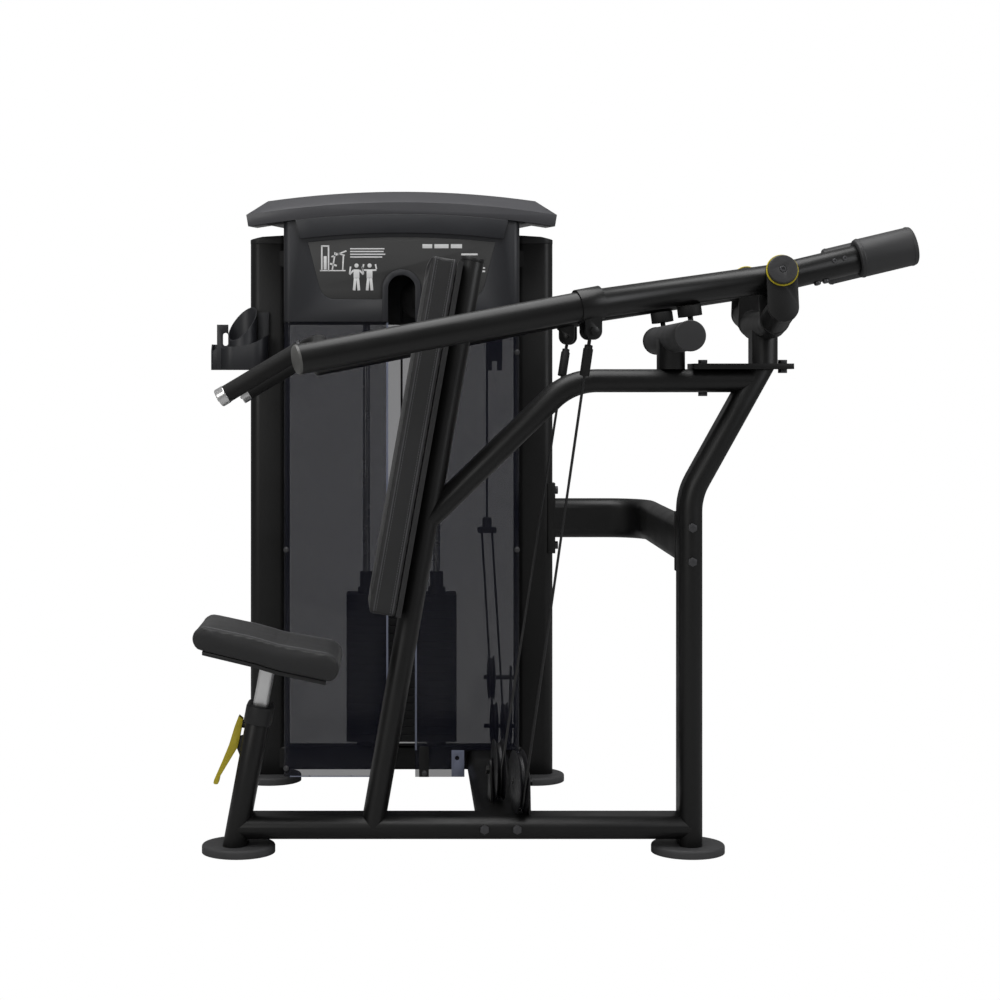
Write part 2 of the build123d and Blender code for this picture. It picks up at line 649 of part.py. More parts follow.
with BuildPart() as tower_posts:
    for x in (POST_LEFT_X, POST_RIGHT_X):
        add(bent_tube([(x, TOWER_Y, FOOT_T), (x, TOWER_Y, POST_TOP)], (1, 0, 0)))
save(tower_posts, "tower_posts")

STRAP_T = 6.0
PULLEY_X = (TOWER_X + HEAD_PULLEY_R, YOKE_X - HEAD_PULLEY_R)
with BuildPart() as tower_top:
    with BuildSketch(Plane.YZ.offset(POST_LEFT_X)):
        with Locations((TOWER_Y, TOP_BEAM_Z)):
            RectangleRounded(TUBE_WIDE, TUBE_WIDE, 8)
            RectangleRounded(TUBE_WIDE - 6, TUBE_WIDE - 6, 5, mode=Mode.SUBTRACT)
    extrude(amount=POST_SPAN)
    for post in post_outer:
        add(post, mode=Mode.SUBTRACT)
    beam_under = TOP_BEAM_Z - TUBE_WIDE / 2
    with Locations(*[((PULLEY_X[0] + PULLEY_X[1]) / 2, TOWER_Y + s * 19, (beam_under + 1300) / 2)
                     for s in (-1, 1)]):
        Box(180, 4, beam_under - 1300)
    with Locations(*[(x, TOWER_Y, HEAD_PULLEY_Z) for x in PULLEY_X]):
        Cylinder(AXLE_R, 42, rotation=(90, 0, 0))
    with Locations((TOWER_X, TOWER_Y, ROD_TOP_Z + STRAP_T / 2)):
        Box(GUIDE_SPAN + 46, 44, STRAP_T)
    with Locations(*[(TOWER_X + s * (GUIDE_SPAN / 2 + 20), TOWER_Y, (ROD_TOP_Z + beam_under) / 2)
                     for s in (-1,)]):
        Box(6, 40, beam_under - ROD_TOP_Z)
    with Locations((TOWER_X + GUIDE_SPAN / 2, TOWER_Y + 29.5, (ROD_TOP_Z + TOP_BEAM_Z) / 2)):
        Box(30, 5, TOP_BEAM_Z - ROD_TOP_Z)
    with Locations((TOWER_X + GUIDE_SPAN / 2, TOWER_Y + 16, ROD_TOP_Z + STRAP_T / 2)):
        Box(30, 32, STRAP_T)
    with Locations((TOWER_X, TOWER_Y, ROD_TOP_Z)):
        Cylinder(14, 40, mode=Mode.SUBTRACT)
    with Locations((640, TOWER_Y + 29.5, (TOP_BEAM_Z + 1158) / 2)):
        Box(44, 5, TOP_BEAM_Z - 1158)
    with Locations((626, TOWER_Y + 29.5, 1146), (654, TOWER_Y + 29.5, 1146)):
        Box(14, 5, 28)
save(tower_top, "tower_top")

with BuildPart() as plastic_caps:
    for x, side in ((POST_LEFT_X, -1), (POST_RIGHT_X, 1)):
        with BuildSketch(Plane.XY.offset(POST_TOP)):
            with Locations((x, TOWER_Y)):
                SlotOverall(TUBE_DEEP + 1, TUBE_WIDE + 1)
        extrude(amount=23)
        add(prism(Plane(origin=(x, TOWER_Y, POST_TOP), x_dir=(1, 0, 0), z_dir=(0, -1, 0)),
                  [(side * 60, 10), (side * 20, 19), (-side * 60, 24), (-side * 60, 40), (side * 60, 40)],
                  80), mode=Mode.SUBTRACT)
    with BuildSketch(Plane(origin=back_axis + BACK_DIR * BACK_POST_LEN, x_dir=(0, 1, 0), z_dir=BACK_DIR)):
        SlotOverall(TUBE_DEEP + 1, TUBE_WIDE + 1)
    extrude(amount=9)
save(plastic_caps, "plastic_caps")

with BuildPart() as guide_rods:
    for s in (-1, 1):
        base = Vector(TOWER_X + s * GUIDE_SPAN / 2, TOWER_Y, BASE_Z1 - 15)
        add(rod(base, Vector(base.X, base.Y, ROD_TOP_Z), GUIDE_R))
save(guide_rods, "guide_rods")

# ---------------------------------------------------------------- weight stack
PIN_LEVEL = PLATE_COUNT - LIFTED_COUNT  # the pin sits in the lowest lifted plate


def weight_plate(index):
    """One plate of the stack, bored for the guide rods, the stem and the selector pin."""
    with BuildPart() as plate:
        with BuildSketch(Plane.XY.offset(STACK_Z + index * PLATE_PITCH)):
            with Locations((TOWER_X, TOWER_Y)):
                RectangleRounded(PLATE_WIDE, PLATE_DEEP, 7)
                with Locations(*[(s * GUIDE_SPAN / 2, 0) for s in (-1, 1)]):
                    Circle(GUIDE_R + 3, mode=Mode.SUBTRACT)
                Circle(STEM_R + 2, mode=Mode.SUBTRACT)
        extrude(amount=PLATE_T)
        with BuildSketch(Plane.XZ.offset(-(TOWER_Y - PLATE_DEEP / 2 - 5))):
            with Locations((TOWER_X, STACK_Z + index * PLATE_PITCH + PLATE_T / 2)):
                Circle(PIN_HOLE_R)
        extrude(amount=-(PLATE_DEEP / 2), mode=Mode.SUBTRACT)
    return plate.part


with BuildPart() as resting_plates:
    for level in range(PIN_LEVEL):
        add(weight_plate(level))
save(resting_plates, "resting_plates")

with BuildPart() as lifted_plates:
    for level in range(PIN_LEVEL, PLATE_COUNT - 1):
        add(weight_plate(level))
save(lifted_plates, "lifted_plates")

top_z = STACK_Z + (PLATE_COUNT - 1) * PLATE_PITCH
with BuildPart() as stack_top:
    add(weight_plate(PLATE_COUNT - 1))
    for s in (-1, 1):
        spot = Vector(TOWER_X + s * GUIDE_SPAN / 2, TOWER_Y, top_z + PLATE_T)
        add(rod(spot, spot + Vector(0, 0, 17), 24, GUIDE_R + 1))
        add(rod(spot + Vector(0, 0, 17), spot + Vector(0, 0, 60), 18, GUIDE_R + 1))
    stem_foot = Vector(TOWER_X, TOWER_Y, STACK_Z + 8)
    add(rod(stem_foot, Vector(TOWER_X, TOWER_Y, STEM_TOP_Z), STEM_R))
    add(rod(Vector(TOWER_X, TOWER_Y, top_z), Vector(TOWER_X, TOWER_Y, top_z + PLATE_T + 12), 24))
    for level in range(PLATE_COUNT):
        height = STACK_Z + level * PLATE_PITCH + PLATE_T / 2
        add(rod(Vector(TOWER_X, TOWER_Y - 60, height), Vector(TOWER_X, TOWER_Y + 5, height), PIN_HOLE_R),
            mode=Mode.SUBTRACT)
save(stack_top, "stack_top")

SELECTOR_OUT = 48.0
pin_height = STACK_Z + PIN_LEVEL * PLATE_PITCH + PLATE_T / 2
plate_front = TOWER_Y - PLATE_DEEP / 2
with BuildPart() as selector_pin:
    add(rod(Vector(TOWER_X, plate_front - 14, pin_height), Vector(TOWER_X, TOWER_Y, pin_height),
            PIN_HOLE_R - RUNNING))
    with BuildSketch(Plane.XZ.offset(-(plate_front - 2))):
        with Locations((TOWER_X, pin_height)):
            Circle(11)
    extrude(amount=SELECTOR_OUT)
    with BuildSketch(Plane.XZ.offset(-(plate_front - SELECTOR_OUT + 14))):
        with Locations((TOWER_X, pin_height)):
            Circle(17)
    extrude(amount=16)
    fillet(selector_pin.faces().sort_by(Axis.Y)[0].edges(), 5)
save(selector_pin, "selector_pin")

# ---------------------------------------------------------------- shrouds, head and cap
front_y = TOWER_Y - SHROUD_HALF_Y
rear_y = TOWER_Y + SHROUD_HALF_Y
SHROUD_REACH = SHROUD_HALF_Y - TUBE_WIDE / 2  # the side walls end on the tower's base and top beams
LIP = 14.0


def shroud(half_x, y0, direction, z0, z1, wall, reach):
    """A shallow tray: a flat face with two side walls that run back to the posts."""
    with BuildPart() as tray:
        middle = y0 + direction * reach / 2
        with Locations((TOWER_X, middle, (z0 + z1) / 2)):
            Box(2 * half_x, reach, z1 - z0)
        upright_edges = tray.edges().filter_by(Axis.Z)
        fillet(upright_edges.sort_by(Axis.Y)[:2] if direction > 0 else upright_edges.sort_by(Axis.Y)[-2:],
               18)
        with BuildSketch(Plane.XY.offset(z0 - 1)):
            with Locations((TOWER_X, middle + direction * (wall / 2 + 1))):
                RectangleRounded(2 * half_x - 2 * wall, reach - wall + 2, 14)
            with Locations((TOWER_X, middle + direction * (reach / 2 - 8))):
                Rectangle(2 * half_x - 2 * wall, 30)
        extrude(amount=z1 - z0 + 2, mode=Mode.SUBTRACT)
    return tray.part


with BuildPart() as front_shroud:
    add(shroud(SHROUD_HALF_X, front_y, 1, SHROUD_Z0, HEAD_Z0 - 0.5, SHROUD_T, SHROUD_REACH))
    with Locations((TOWER_X, front_y, 650)):
        Box(2 * SLOT_HALF, 60, 1300, mode=Mode.SUBTRACT)
    with Locations((LINK_X + 4, front_y, SHROUD_Z0)):
        Box(132, 60, 144, mode=Mode.SUBTRACT)
    for s in (-1, 1):
        with Locations((TOWER_X + s * (SLOT_HALF + SHROUD_T / 2), front_y + LIP / 2 + 1,
                        (SHROUD_Z0 + HEAD_Z0 - 0.5) / 2)):
            Box(SHROUD_T, LIP, HEAD_Z0 - 0.5 - SHROUD_Z0)
save(front_shroud, "front_shroud")

with BuildPart() as rear_shroud:
    add(shroud(SHROUD_HALF_X, rear_y, -1, SHROUD_Z0, HEAD_Z0 - 0.5, SHROUD_T, SHROUD_REACH))
save(rear_shroud, "rear_shroud")

HEAD_T = 5.0
HEAD_PROUD = 7.0
ARCH_Z = 1387.0
face_plane = Plane(origin=(TOWER_X, front_y - HEAD_PROUD, 0), x_dir=(1, 0, 0), z_dir=(0, -1, 0))
cap_axis_z = CAP_UNDER_Z - CAP_ARCH_R
under_cap = CAP_ARCH_R - GAP


def slot_outline(half, top, bottom):
    """A round-topped opening, drawn about the tower's middle."""
    with BuildSketch() as opening:
        with BuildLine():
            Polyline((-half, top - half), (-half, bottom), (half, bottom), (half, top - half))
            ThreePointArc((half, top - half), (0, top), (-half, top - half))
        make_face()
    return opening.sketch


head_z1 = CAP_UNDER_Z
with BuildPart() as head_panel:
    add(shroud(SHROUD_HALF_X, front_y - HEAD_PROUD, 1, HEAD_Z0, head_z1, HEAD_T, SHROUD_REACH + HEAD_PROUD))
    add(shroud(SHROUD_HALF_X, rear_y + HEAD_PROUD, -1, HEAD_Z0, head_z1, HEAD_T, SHROUD_REACH + HEAD_PROUD))
    # brow under the cap, and the raised surround of the window
    with BuildSketch(face_plane):
        with BuildLine():
            Polyline((-272, 1484), (-292, 1560), (292, 1560), (272, 1484))
            ThreePointArc((272, 1484), (0, 1500), (-272, 1484))
        make_face()
    extrude(amount=9)
    with BuildSketch(face_plane):
        add(slot_outline(SLOT_HALF + 15, ARCH_Z + 15, HEAD_Z0))
    extrude(amount=6)
    # shallow recess for the placard, left and right of the window
    with BuildSketch(face_plane):
        with BuildLine():
            Polyline((-252, 1476), (-222, 1356))
            ThreePointArc((-222, 1356), (-206, 1331), (-178, 1322))
            Polyline((-178, 1322), (178, 1322))
            ThreePointArc((178, 1322), (206, 1331), (222, 1356))
            Polyline((222, 1356), (252, 1476))
            ThreePointArc((252, 1476), (0, 1490), (-252, 1476))
        make_face()
        add(slot_outline(SLOT_HALF + 15, ARCH_Z + 15, HEAD_Z0), mode=Mode.SUBTRACT)
    extrude(amount=-1.5, mode=Mode.SUBTRACT)
    with BuildSketch(face_plane.offset(20)):
        add(slot_outline(SLOT_HALF, ARCH_Z, HEAD_Z0 - 10))
    extrude(amount=-60, mode=Mode.SUBTRACT)
    # the top follows the cap's arch
    with BuildSketch(Plane(origin=(TOWER_X, 0, cap_axis_z), x_dir=(1, 0, 0), z_dir=(0, -1, 0))):
        Rectangle(1400, 2 * CAP_ARCH_R + 600)
        Circle(under_cap, mode=Mode.SUBTRACT)
    extrude(amount=-1400, mode=Mode.SUBTRACT)
save(head_panel, "head_panel")

cap_angle = degrees(asin(CAP_HALF_X / CAP_ARCH_R))
SHOULDER = 78.0
with BuildPart() as head_cap:
    with BuildSketch(Plane(origin=(TOWER_X, TOWER_Y, cap_axis_z), x_dir=(0, 1, 0), z_dir=(1, 0, 0))):
        with BuildLine():
            Polyline((-CAP_HALF_Y, CAP_ARCH_R), (CAP_HALF_Y, CAP_ARCH_R), (CAP_HALF_Y, CAP_ARCH_R + CAP_T),
                     (CAP_HALF_Y - SHOULDER, CAP_ARCH_R + CAP_T + CAP_RISE),
                     (SHOULDER - CAP_HALF_Y, CAP_ARCH_R + CAP_T + CAP_RISE),
                     (-CAP_HALF_Y, CAP_ARCH_R + CAP_T), close=True)
        make_face()
    turn = Axis((TOWER_X, TOWER_Y, cap_axis_z), (0, 1, 0))
    revolve(axis=turn, revolution_arc=cap_angle)
    revolve(head_cap.faces().sort_by(Axis.X)[0], axis=turn, revolution_arc=-cap_angle)
    for s in (-1, 1):
        end_x = TOWER_X + s * CAP_HALF_X
        end_z = cap_axis_z + CAP_ARCH_R * cos(radians(cap_angle)) + CAP_T
        add(prism(Plane(origin=(0, TOWER_Y, 0), x_dir=(1, 0, 0), z_dir=(0, -1, 0)),
                  [(end_x + s * 30, end_z - 20), (end_x + s * 5, end_z), (end_x - s * 48, end_z + 43),
                   (end_x - s * 48, end_z + 90), (end_x + s * 60, end_z + 90)], 500), mode=Mode.SUBTRACT)
save(head_cap, "head_cap")

# ---------------------------------------------------------------- cup holder on the left post
CUP_R = 36.0
CUP_WALL = 3.0
CUP_X = -52.0
CUP_Y = 792.0
CUP_Z0 = 1133.0
CUP_FLOOR = 4.0
with BuildPart() as cup_holder:
    # tray round the cup, its upper edge rising towards the post
    with BuildSketch(Plane.XY.offset(CUP_Z0)):
        with Locations((-47.5, 797)):
            RectangleRounded(133, 92, 38)
        with Locations((-118, 806)):
            RectangleRounded(38, 56, 9)
    extrude(amount=96)
    with BuildSketch(Plane.XY.offset(CUP_Z0 + CUP_FLOOR)):
        with Locations((-47.5, 797)):
            RectangleRounded(133 - 2 * CUP_WALL, 92 - 2 * CUP_WALL, 38 - CUP_WALL)
        with Locations((-119.5, 806)):
            RectangleRounded(35 - 2 * CUP_WALL, 56 - 2 * CUP_WALL, 6)
    extrude(amount=96, mode=Mode.SUBTRACT)
    tray_edge = Plane(origin=(0, CUP_Y, 0), x_dir=(1, 0, 0), z_dir=(0, -1, 0))
    with BuildSketch(tray_edge):
        with BuildLine():
            Polyline((-200, 1280), (-200, 1203), (-116, 1203), (-116, 1196), (-72, 1196))
            ThreePointArc((-72, 1196), (-20, 1206), (20, 1229))
            Polyline((20, 1229), (20, 1280), (-200, 1280))
        make_face()
    extrude(amount=120, both=True, mode=Mode.SUBTRACT)
    # the cup, cut on a slant that rises to the right and to the rear
    add(rod(Vector(CUP_X, CUP_Y, CUP_Z0), Vector(CUP_X, CUP_Y, CUP_Z0 + 190), CUP_R + CUP_WALL))
    slant = Plane(origin=(CUP_X, CUP_Y, 1258), z_dir=(-0.79, -0.91, 1))
    add(slant.location * block((0, 0, 150), (500, 500, 300)), mode=Mode.SUBTRACT)
    # tab at the left with its slot, and the lug that reaches the post
    with Locations((-104, 770, (CUP_Z0 + 1256) / 2)):
        Box(31, CUP_WALL, 1256 - CUP_Z0)
    with BuildSketch(tray_edge):
        with Locations((-96, 1216)):
            SlotOverall(35, 14, rotation=90)
    extrude(amount=40, mode=Mode.SUBTRACT)
    with Locations((3, 838, CUP_Z0 + 79)):
        Box(30, 20, 158)
    add(post_outer[0], mode=Mode.SUBTRACT)
    add(rod(Vector(CUP_X, CUP_Y, CUP_Z0 + CUP_FLOOR), Vector(CUP_X, CUP_Y, CUP_Z0 + 200), CUP_R),
        mode=Mode.SUBTRACT)
save(cup_holder, "cup_holder")

# ---------------------------------------------------------------- press arm, near side
tail_dir = (Vector(1, 0, 0) * cos(radians(ARM_TAIL_SLOPE)) + pivot_up * sin(radians(ARM_TAIL_SLOPE)))
tail_end = PIVOT + tail_dir * ARM_TAIL_LEN
clevis_dir = Vector(-cos(radians(CLEVIS_YAW)), -sin(radians(CLEVIS_YAW)), 0)
bolt_dir = Vector(sin(radians(CLEVIS_YAW)), -cos(radians(CLEVIS_YAW)), 0)
clevis_plane = Plane(origin=CLEVIS_BOLT, x_dir=-clevis_dir, z_dir=bolt_dir)
collar_dir = (ARM_END - ARM_COLLAR).normalized()
collar_a = ARM_COLLAR - collar_dir * (COLLAR_LEN / 2)
collar_b = ARM_COLLAR + collar_dir * (COLLAR_LEN / 2)
handle_foot_share = (ARM_COLLAR.X - HANDLE_TOP.X) / (ARM_COLLAR.X - ARM_END.X)
handle_foot = ARM_COLLAR + (ARM_END - ARM_COLLAR) * handle_foot_share


def arm_path():
    """Centre line of the arm's tube: end, bend at the collar, pivot, tail."""
    with BuildLine() as path:
        FilletPolyline(ARM_END, ARM_COLLAR, PIVOT, tail_end, radius=[400, 260])
    return path.wire()


def round_sweep(path, start, direction, radius):
    """A round bar along a path."""
    with BuildPart() as bar:
        with BuildSketch(Plane(origin=start, z_dir=direction)):
            Circle(radius)
        sweep(path=path)
    return bar.part


arm_start_dir = ARM_COLLAR - ARM_END
with BuildLine() as handle_path:
    FilletPolyline(HANDLE_LOW, HANDLE_TOP, handle_foot, radius=HANDLE_BEND_R)
handle_dir = (HANDLE_TOP - HANDLE_LOW).normalized()
arm_bore = round_sweep(arm_path(), ARM_END, arm_start_dir, ARM_R - ARM_WALL)

with BuildPart() as near_arm:
    add(round_sweep(arm_path(), ARM_END, arm_start_dir, ARM_R))
    add(rod(collar_a, collar_b, COLLAR_R))
    add(round_sweep(handle_path.wire(), HANDLE_LOW, handle_dir, HANDLE_R))
    add(arm_bore, mode=Mode.SUBTRACT)
    # hub across the pivot
    add(rod(PIVOT - pivot_axis * hub_half, PIVOT + pivot_axis * hub_half, HUB_R))
    add(rod(PIVOT - pivot_axis * (hub_half + 1), PIVOT + pivot_axis * (hub_half + 1), SHAFT_R + RUNNING),
        mode=Mode.SUBTRACT)
    # cable clevis under the collar
    for s in (-1, 1):
        with BuildSketch(clevis_plane.offset(s * (CLEVIS_INSIDE + CLEVIS_T) / 2)):
            with Locations((0, 16)):
                Rectangle(CLEVIS_WIDE, 34)
            Circle(CLEVIS_WIDE / 2)
            Circle(BOLT_R, mode=Mode.SUBTRACT)
        extrude(amount=CLEVIS_T / 2, both=True)
    add(rod(CLEVIS_BOLT - bolt_dir * (CLEVIS_INSIDE / 2 + CLEVIS_T + 8),
            CLEVIS_BOLT + bolt_dir * (CLEVIS_INSIDE / 2 + CLEVIS_T), BOLT_R))
    with Locations(CLEVIS_BOLT):
        Sphere(BALL_R)
    add(hex_bolt(CLEVIS_BOLT + bolt_dir * (CLEVIS_INSIDE / 2 + CLEVIS_T), bolt_dir, shank=0))
    add(arm_bore, mode=Mode.SUBTRACT)
save(near_arm, "near_arm")

with BuildPart() as near_grip:
    add(rod(HANDLE_LOW - handle_dir * 2, HANDLE_LOW + handle_dir * GRIP_LEN, GRIP_R, HANDLE_R))
    fillet(near_grip.edges().filter_by(GeomType.CIRCLE).group_by(SortBy.RADIUS)[-1], 2)
save(near_grip, "near_grip")

with BuildPart() as near_counterweight:
    add(rod(PIVOT + tail_dir * WEIGHT_START, PIVOT + tail_dir * (WEIGHT_START + WEIGHT_LEN), WEIGHT_R))
    fillet(near_counterweight.edges().filter_by(GeomType.CIRCLE), 5)
    add(rod(PIVOT + tail_dir * (WEIGHT_START - 1), PIVOT + tail_dir * (ARM_TAIL_LEN + 0.2), ARM_R),
        mode=Mode.SUBTRACT)
save(near_counterweight, "near_counterweight")

for piece, label in ((near_arm, "far_arm"), (near_grip, "far_grip"),
                     (near_counterweight, "far_counterweight")):
    with BuildPart() as far_piece:
        add(far_side(piece.part))
    save(far_piece, label)

# ---------------------------------------------------------------- cable terminals
SLEEVE_R = 11.0
SLEEVE_LEN = 62.0
EYE_R = 14.0
EYE_HALF = 4.5
NECK_LEN = 24.0
NECK_R = 4.0  # under EYE_HALF, so the neck grows from the eye's rim


def tangent_point(centre, yaw, target, radius):
    """Where a cable coming down from the target meets the front of a pulley turned by yaw."""
    ahead = Vector(sin(radians(yaw)), -cos(radians(yaw)), 0)
    run = (target - centre).dot(ahead)
    rise = target.Z - centre.Z
    meet = atan2(rise, run) - acos(radius / hypot(rise, run))
    return centre + ahead * (radius * cos(meet)) + Vector(0, 0, radius * sin(meet)), meet, ahead


near_centre = Vector(*NEAR_PULLEY, BASE_PULLEY_Z)
far_centre = Vector(*FAR_PULLEY, BASE_PULLEY_Z)
far_bolt = Vector(CLEVIS_BOLT.X, -CLEVIS_BOLT.Y, CLEVIS_BOLT.Z)
near_meet, near_angle, near_ahead = tangent_point(near_centre, NEAR_YAW, CLEVIS_BOLT, BASE_PULLEY_R)
far_meet, far_angle, far_ahead = tangent_point(far_centre, FAR_YAW, far_bolt, BASE_PULLEY_R)


def swing_axis(bolt, hinge, centre, yaw):
    """The line about which a terminal turns in its arm's clevis as the arm goes up."""
    origin = Vector(PIVOT.X, PIVOT.Y * (1 if bolt.Y < 0 else -1), PIVOT.Z)
    turn = Axis((0, 0, 0), hinge)
    lifted = origin + (bolt - origin).rotate(turn, PRESS_ANGLE)
    start = tangent_point(centre, yaw, bolt, BASE_PULLEY_R)[0] - bolt
    end = tangent_point(centre, yaw, lifted, BASE_PULLEY_R)[0] - lifted
    return start.cross(end.rotate(turn, -PRESS_ANGLE)).normalized()


def terminal(bolt, across, meet):
    """A ball-jointed rod eye on the clevis bolt, its neck and a rubber-covered sleeve along the cable."""
    down = (meet - bolt).normalized()
    with BuildPart() as eye:
        Cylinder(EYE_R, EYE_HALF * 2)
        Sphere(BALL_R + RUNNING, mode=Mode.SUBTRACT)
    with BuildPart() as end:
        add(Plane(origin=bolt, x_dir=-down, z_dir=across).location * eye.part)
        add(rod(bolt + down * (EYE_R - 3), bolt + down * (EYE_R + NECK_LEN), NECK_R))
        add(rod(bolt + down * (EYE_R + NECK_LEN - 6), bolt + down * (EYE_R + NECK_LEN + 2), 9))
        add(rod(bolt + down * (EYE_R + NECK_LEN + 2), bolt + down * (EYE_R + NECK_LEN + SLEEVE_LEN),
                SLEEVE_R))
    return end.part


near_across = swing_axis(CLEVIS_BOLT, -pivot_axis, near_centre, NEAR_YAW)
far_across = swing_axis(far_bolt, Vector(0, -pivot_axis.Y, pivot_axis.Z), far_centre, FAR_YAW)
with BuildPart() as near_terminal:
    add(terminal(CLEVIS_BOLT, near_across, near_meet))
save(near_terminal, "near_terminal")

with BuildPart() as far_terminal:
    add(terminal(far_bolt, far_across, far_meet))
save(far_terminal, "far_terminal")

terminal_len = EYE_R + NECK_LEN + SLEEVE_LEN
for bolt, meet, label in ((CLEVIS_BOLT, near_meet, "near_cable_drop"), (far_bolt, far_meet, "far_cable_drop")):
    down = (meet - bolt).normalized()
    with BuildPart() as drop:
        add(rod(meet - down * 1.5, bolt + down * (terminal_len + GAP), CABLE_R))
    save(drop, label)

# ---------------------------------------------------------------- cable runs and rises
def arm_run(centre, ahead, angle, rise_x):
    """From the base pulley's front, under it, along the link and up behind the tower pulley."""
    radius = BASE_PULLEY_R
    straight = 45.0
    start = centre + ahead * (radius * cos(angle)) + Vector(0, 0, radius * sin(angle))
    middle_angle = (angle - radians(90)) / 2
    middle = centre + ahead * (radius * cos(middle_angle)) + Vector(0, 0, radius * sin(middle_angle))
    bottom = centre - Vector(0, 0, radius)
    turn_point = bottom - ahead * straight
    tower_bottom = Vector(rise_x, TOWER_PULLEY_Y, bottom.Z)
    rise = tower_bottom + Vector(0, TOWER_PULLEY_R, TOWER_PULLEY_R)
    half = TOWER_PULLEY_R * (1 - 0.5 ** 0.5)
    corner = Vector(rise_x, TOWER_PULLEY_Y + TOWER_PULLEY_R * 0.5 ** 0.5, bottom.Z + half)
    approach = Vector(rise_x, TOWER_PULLEY_Y - 60, bottom.Z)
    with BuildLine() as path:
        ThreePointArc(start, middle, bottom)
        FilletPolyline(bottom, turn_point, approach, tower_bottom, radius=[150, 150])
        ThreePointArc(tower_bottom, corner, rise)
    tangent = Vector(0, 0, -1) * cos(angle) + ahead * sin(angle)
    return round_sweep(path.wire(), start, tangent, CABLE_R)


with BuildPart() as cable_runs:
    add(arm_run(near_centre, near_ahead, near_angle, NEAR_RISE_X))
    add(arm_run(far_centre, far_ahead, far_angle, FAR_RISE_X))
    with BuildLine(Plane(origin=(0, TOWER_Y, 0), x_dir=(1, 0, 0), z_dir=(0, -1, 0))) as head_path:
        ThreePointArc((TOWER_X, HEAD_PULLEY_Z),
                      (PULLEY_X[0] - HEAD_PULLEY_R * 0.5 ** 0.5, HEAD_PULLEY_Z + HEAD_PULLEY_R * 0.5 ** 0.5),
                      (PULLEY_X[0], HEAD_PULLEY_Z + HEAD_PULLEY_R))
        Line((PULLEY_X[0], HEAD_PULLEY_Z + HEAD_PULLEY_R), (PULLEY_X[1], HEAD_PULLEY_Z + HEAD_PULLEY_R))
        ThreePointArc((PULLEY_X[1], HEAD_PULLEY_Z + HEAD_PULLEY_R),
                      (PULLEY_X[1] + HEAD_PULLEY_R * 0.5 ** 0.5, HEAD_PULLEY_Z + HEAD_PULLEY_R * 0.5 ** 0.5),
                      (YOKE_X, HEAD_PULLEY_Z))
    add(round_sweep(head_path.wire(), Vector(TOWER_X, TOWER_Y, HEAD_PULLEY_Z), Vector(0, 0, 1), CABLE_R))
save(cable_runs, "cable_runs")

rise_y = TOWER_PULLEY_Y + TOWER_PULLEY_R
rise_z = BASE_PULLEY_Z - BASE_PULLEY_R + TOWER_PULLEY_R
with BuildPart() as arm_cable_rises:
    for x, side in ((NEAR_RISE_X, 1), (FAR_RISE_X, -1)):
        add(rod(Vector(x, rise_y, rise_z + 1), Vector(YOKE_X + side * YOKE_HALF, rise_y, YOKE_Z - GAP), CABLE_R))
save(arm_cable_rises, "arm_cable_rises")

with BuildPart() as stack_cable:
    add(rod(Vector(TOWER_X, TOWER_Y, STEM_TOP_Z + GAP), Vector(TOWER_X, TOWER_Y, HEAD_PULLEY_Z - GAP), CABLE_R))
save(stack_cable, "stack_cable")

YOKE_TOP = 727.0
with BuildPart() as yoke_cable:
    add(rod(Vector(YOKE_X, TOWER_Y, YOKE_TOP + GAP), Vector(YOKE_X, TOWER_Y, HEAD_PULLEY_Z - GAP), CABLE_R))
save(yoke_cable, "yoke_cable")

with BuildPart() as equaliser:
    with Locations((YOKE_X, TOWER_Y, YOKE_Z + 8)):
        Box(2 * YOKE_HALF + 24, 26, 16)
    fillet(equaliser.edges().filter_by(Axis.Y), 4)
    add(rod(Vector(YOKE_X, TOWER_Y, YOKE_Z + 14), Vector(YOKE_X, TOWER_Y, YOKE_TOP), 13))
    fillet(equaliser.faces().sort_by(Axis.Z)[-1].edges(), 6)
save(equaliser, "equaliser")

# ---------------------------------------------------------------- pulleys, brackets and axles
near_side_axis = Vector(cos(radians(NEAR_YAW)), sin(radians(NEAR_YAW)), 0)
far_side_axis = Vector(cos(radians(FAR_YAW)), sin(radians(FAR_YAW)), 0)
tower_z = BASE_PULLEY_Z - BASE_PULLEY_R + TOWER_PULLEY_R
far_line_x = FAR_RISE_X + (YOKE_X - YOKE_HALF - FAR_RISE_X) * (GUIDE_PULLEY_Z - tower_z) / (YOKE_Z - tower_z)
guide_centre = Vector(far_line_x, rise_y - GUIDE_PULLEY_R, GUIDE_PULLEY_Z)
pulley_list = (
    ("near_base_pulley", near_centre, near_side_axis, BASE_PULLEY_R, 13.0, 7.0),
    ("far_base_pulley", far_centre, far_side_axis, BASE_PULLEY_R, 13.0, 7.0),
    ("near_tower_pulley", Vector(NEAR_RISE_X, TOWER_PULLEY_Y, tower_z), Vector(1, 0, 0), TOWER_PULLEY_R, 10.0, 4.0),
    ("far_tower_pulley", Vector(FAR_RISE_X, TOWER_PULLEY_Y, tower_z), Vector(1, 0, 0), TOWER_PULLEY_R, 10.0, 4.0),
    ("guide_pulley", guide_centre, Vector(1, 0, 0), GUIDE_PULLEY_R, 10.0, 4.0),
    ("head_pulley_stack", Vector(PULLEY_X[0], TOWER_Y, HEAD_PULLEY_Z), Vector(0, 1, 0), HEAD_PULLEY_R, 10.0, 4.0),
    ("head_pulley_yoke", Vector(PULLEY_X[1], TOWER_Y, HEAD_PULLEY_Z), Vector(0, 1, 0), HEAD_PULLEY_R, 10.0, 4.0),
)
for label, centre, axis, groove, half_t, rim in pulley_list:
    with BuildPart() as wheel:
        add(pulley(centre, axis, groove, half_t=half_t, rim=rim))
    save(wheel, label)

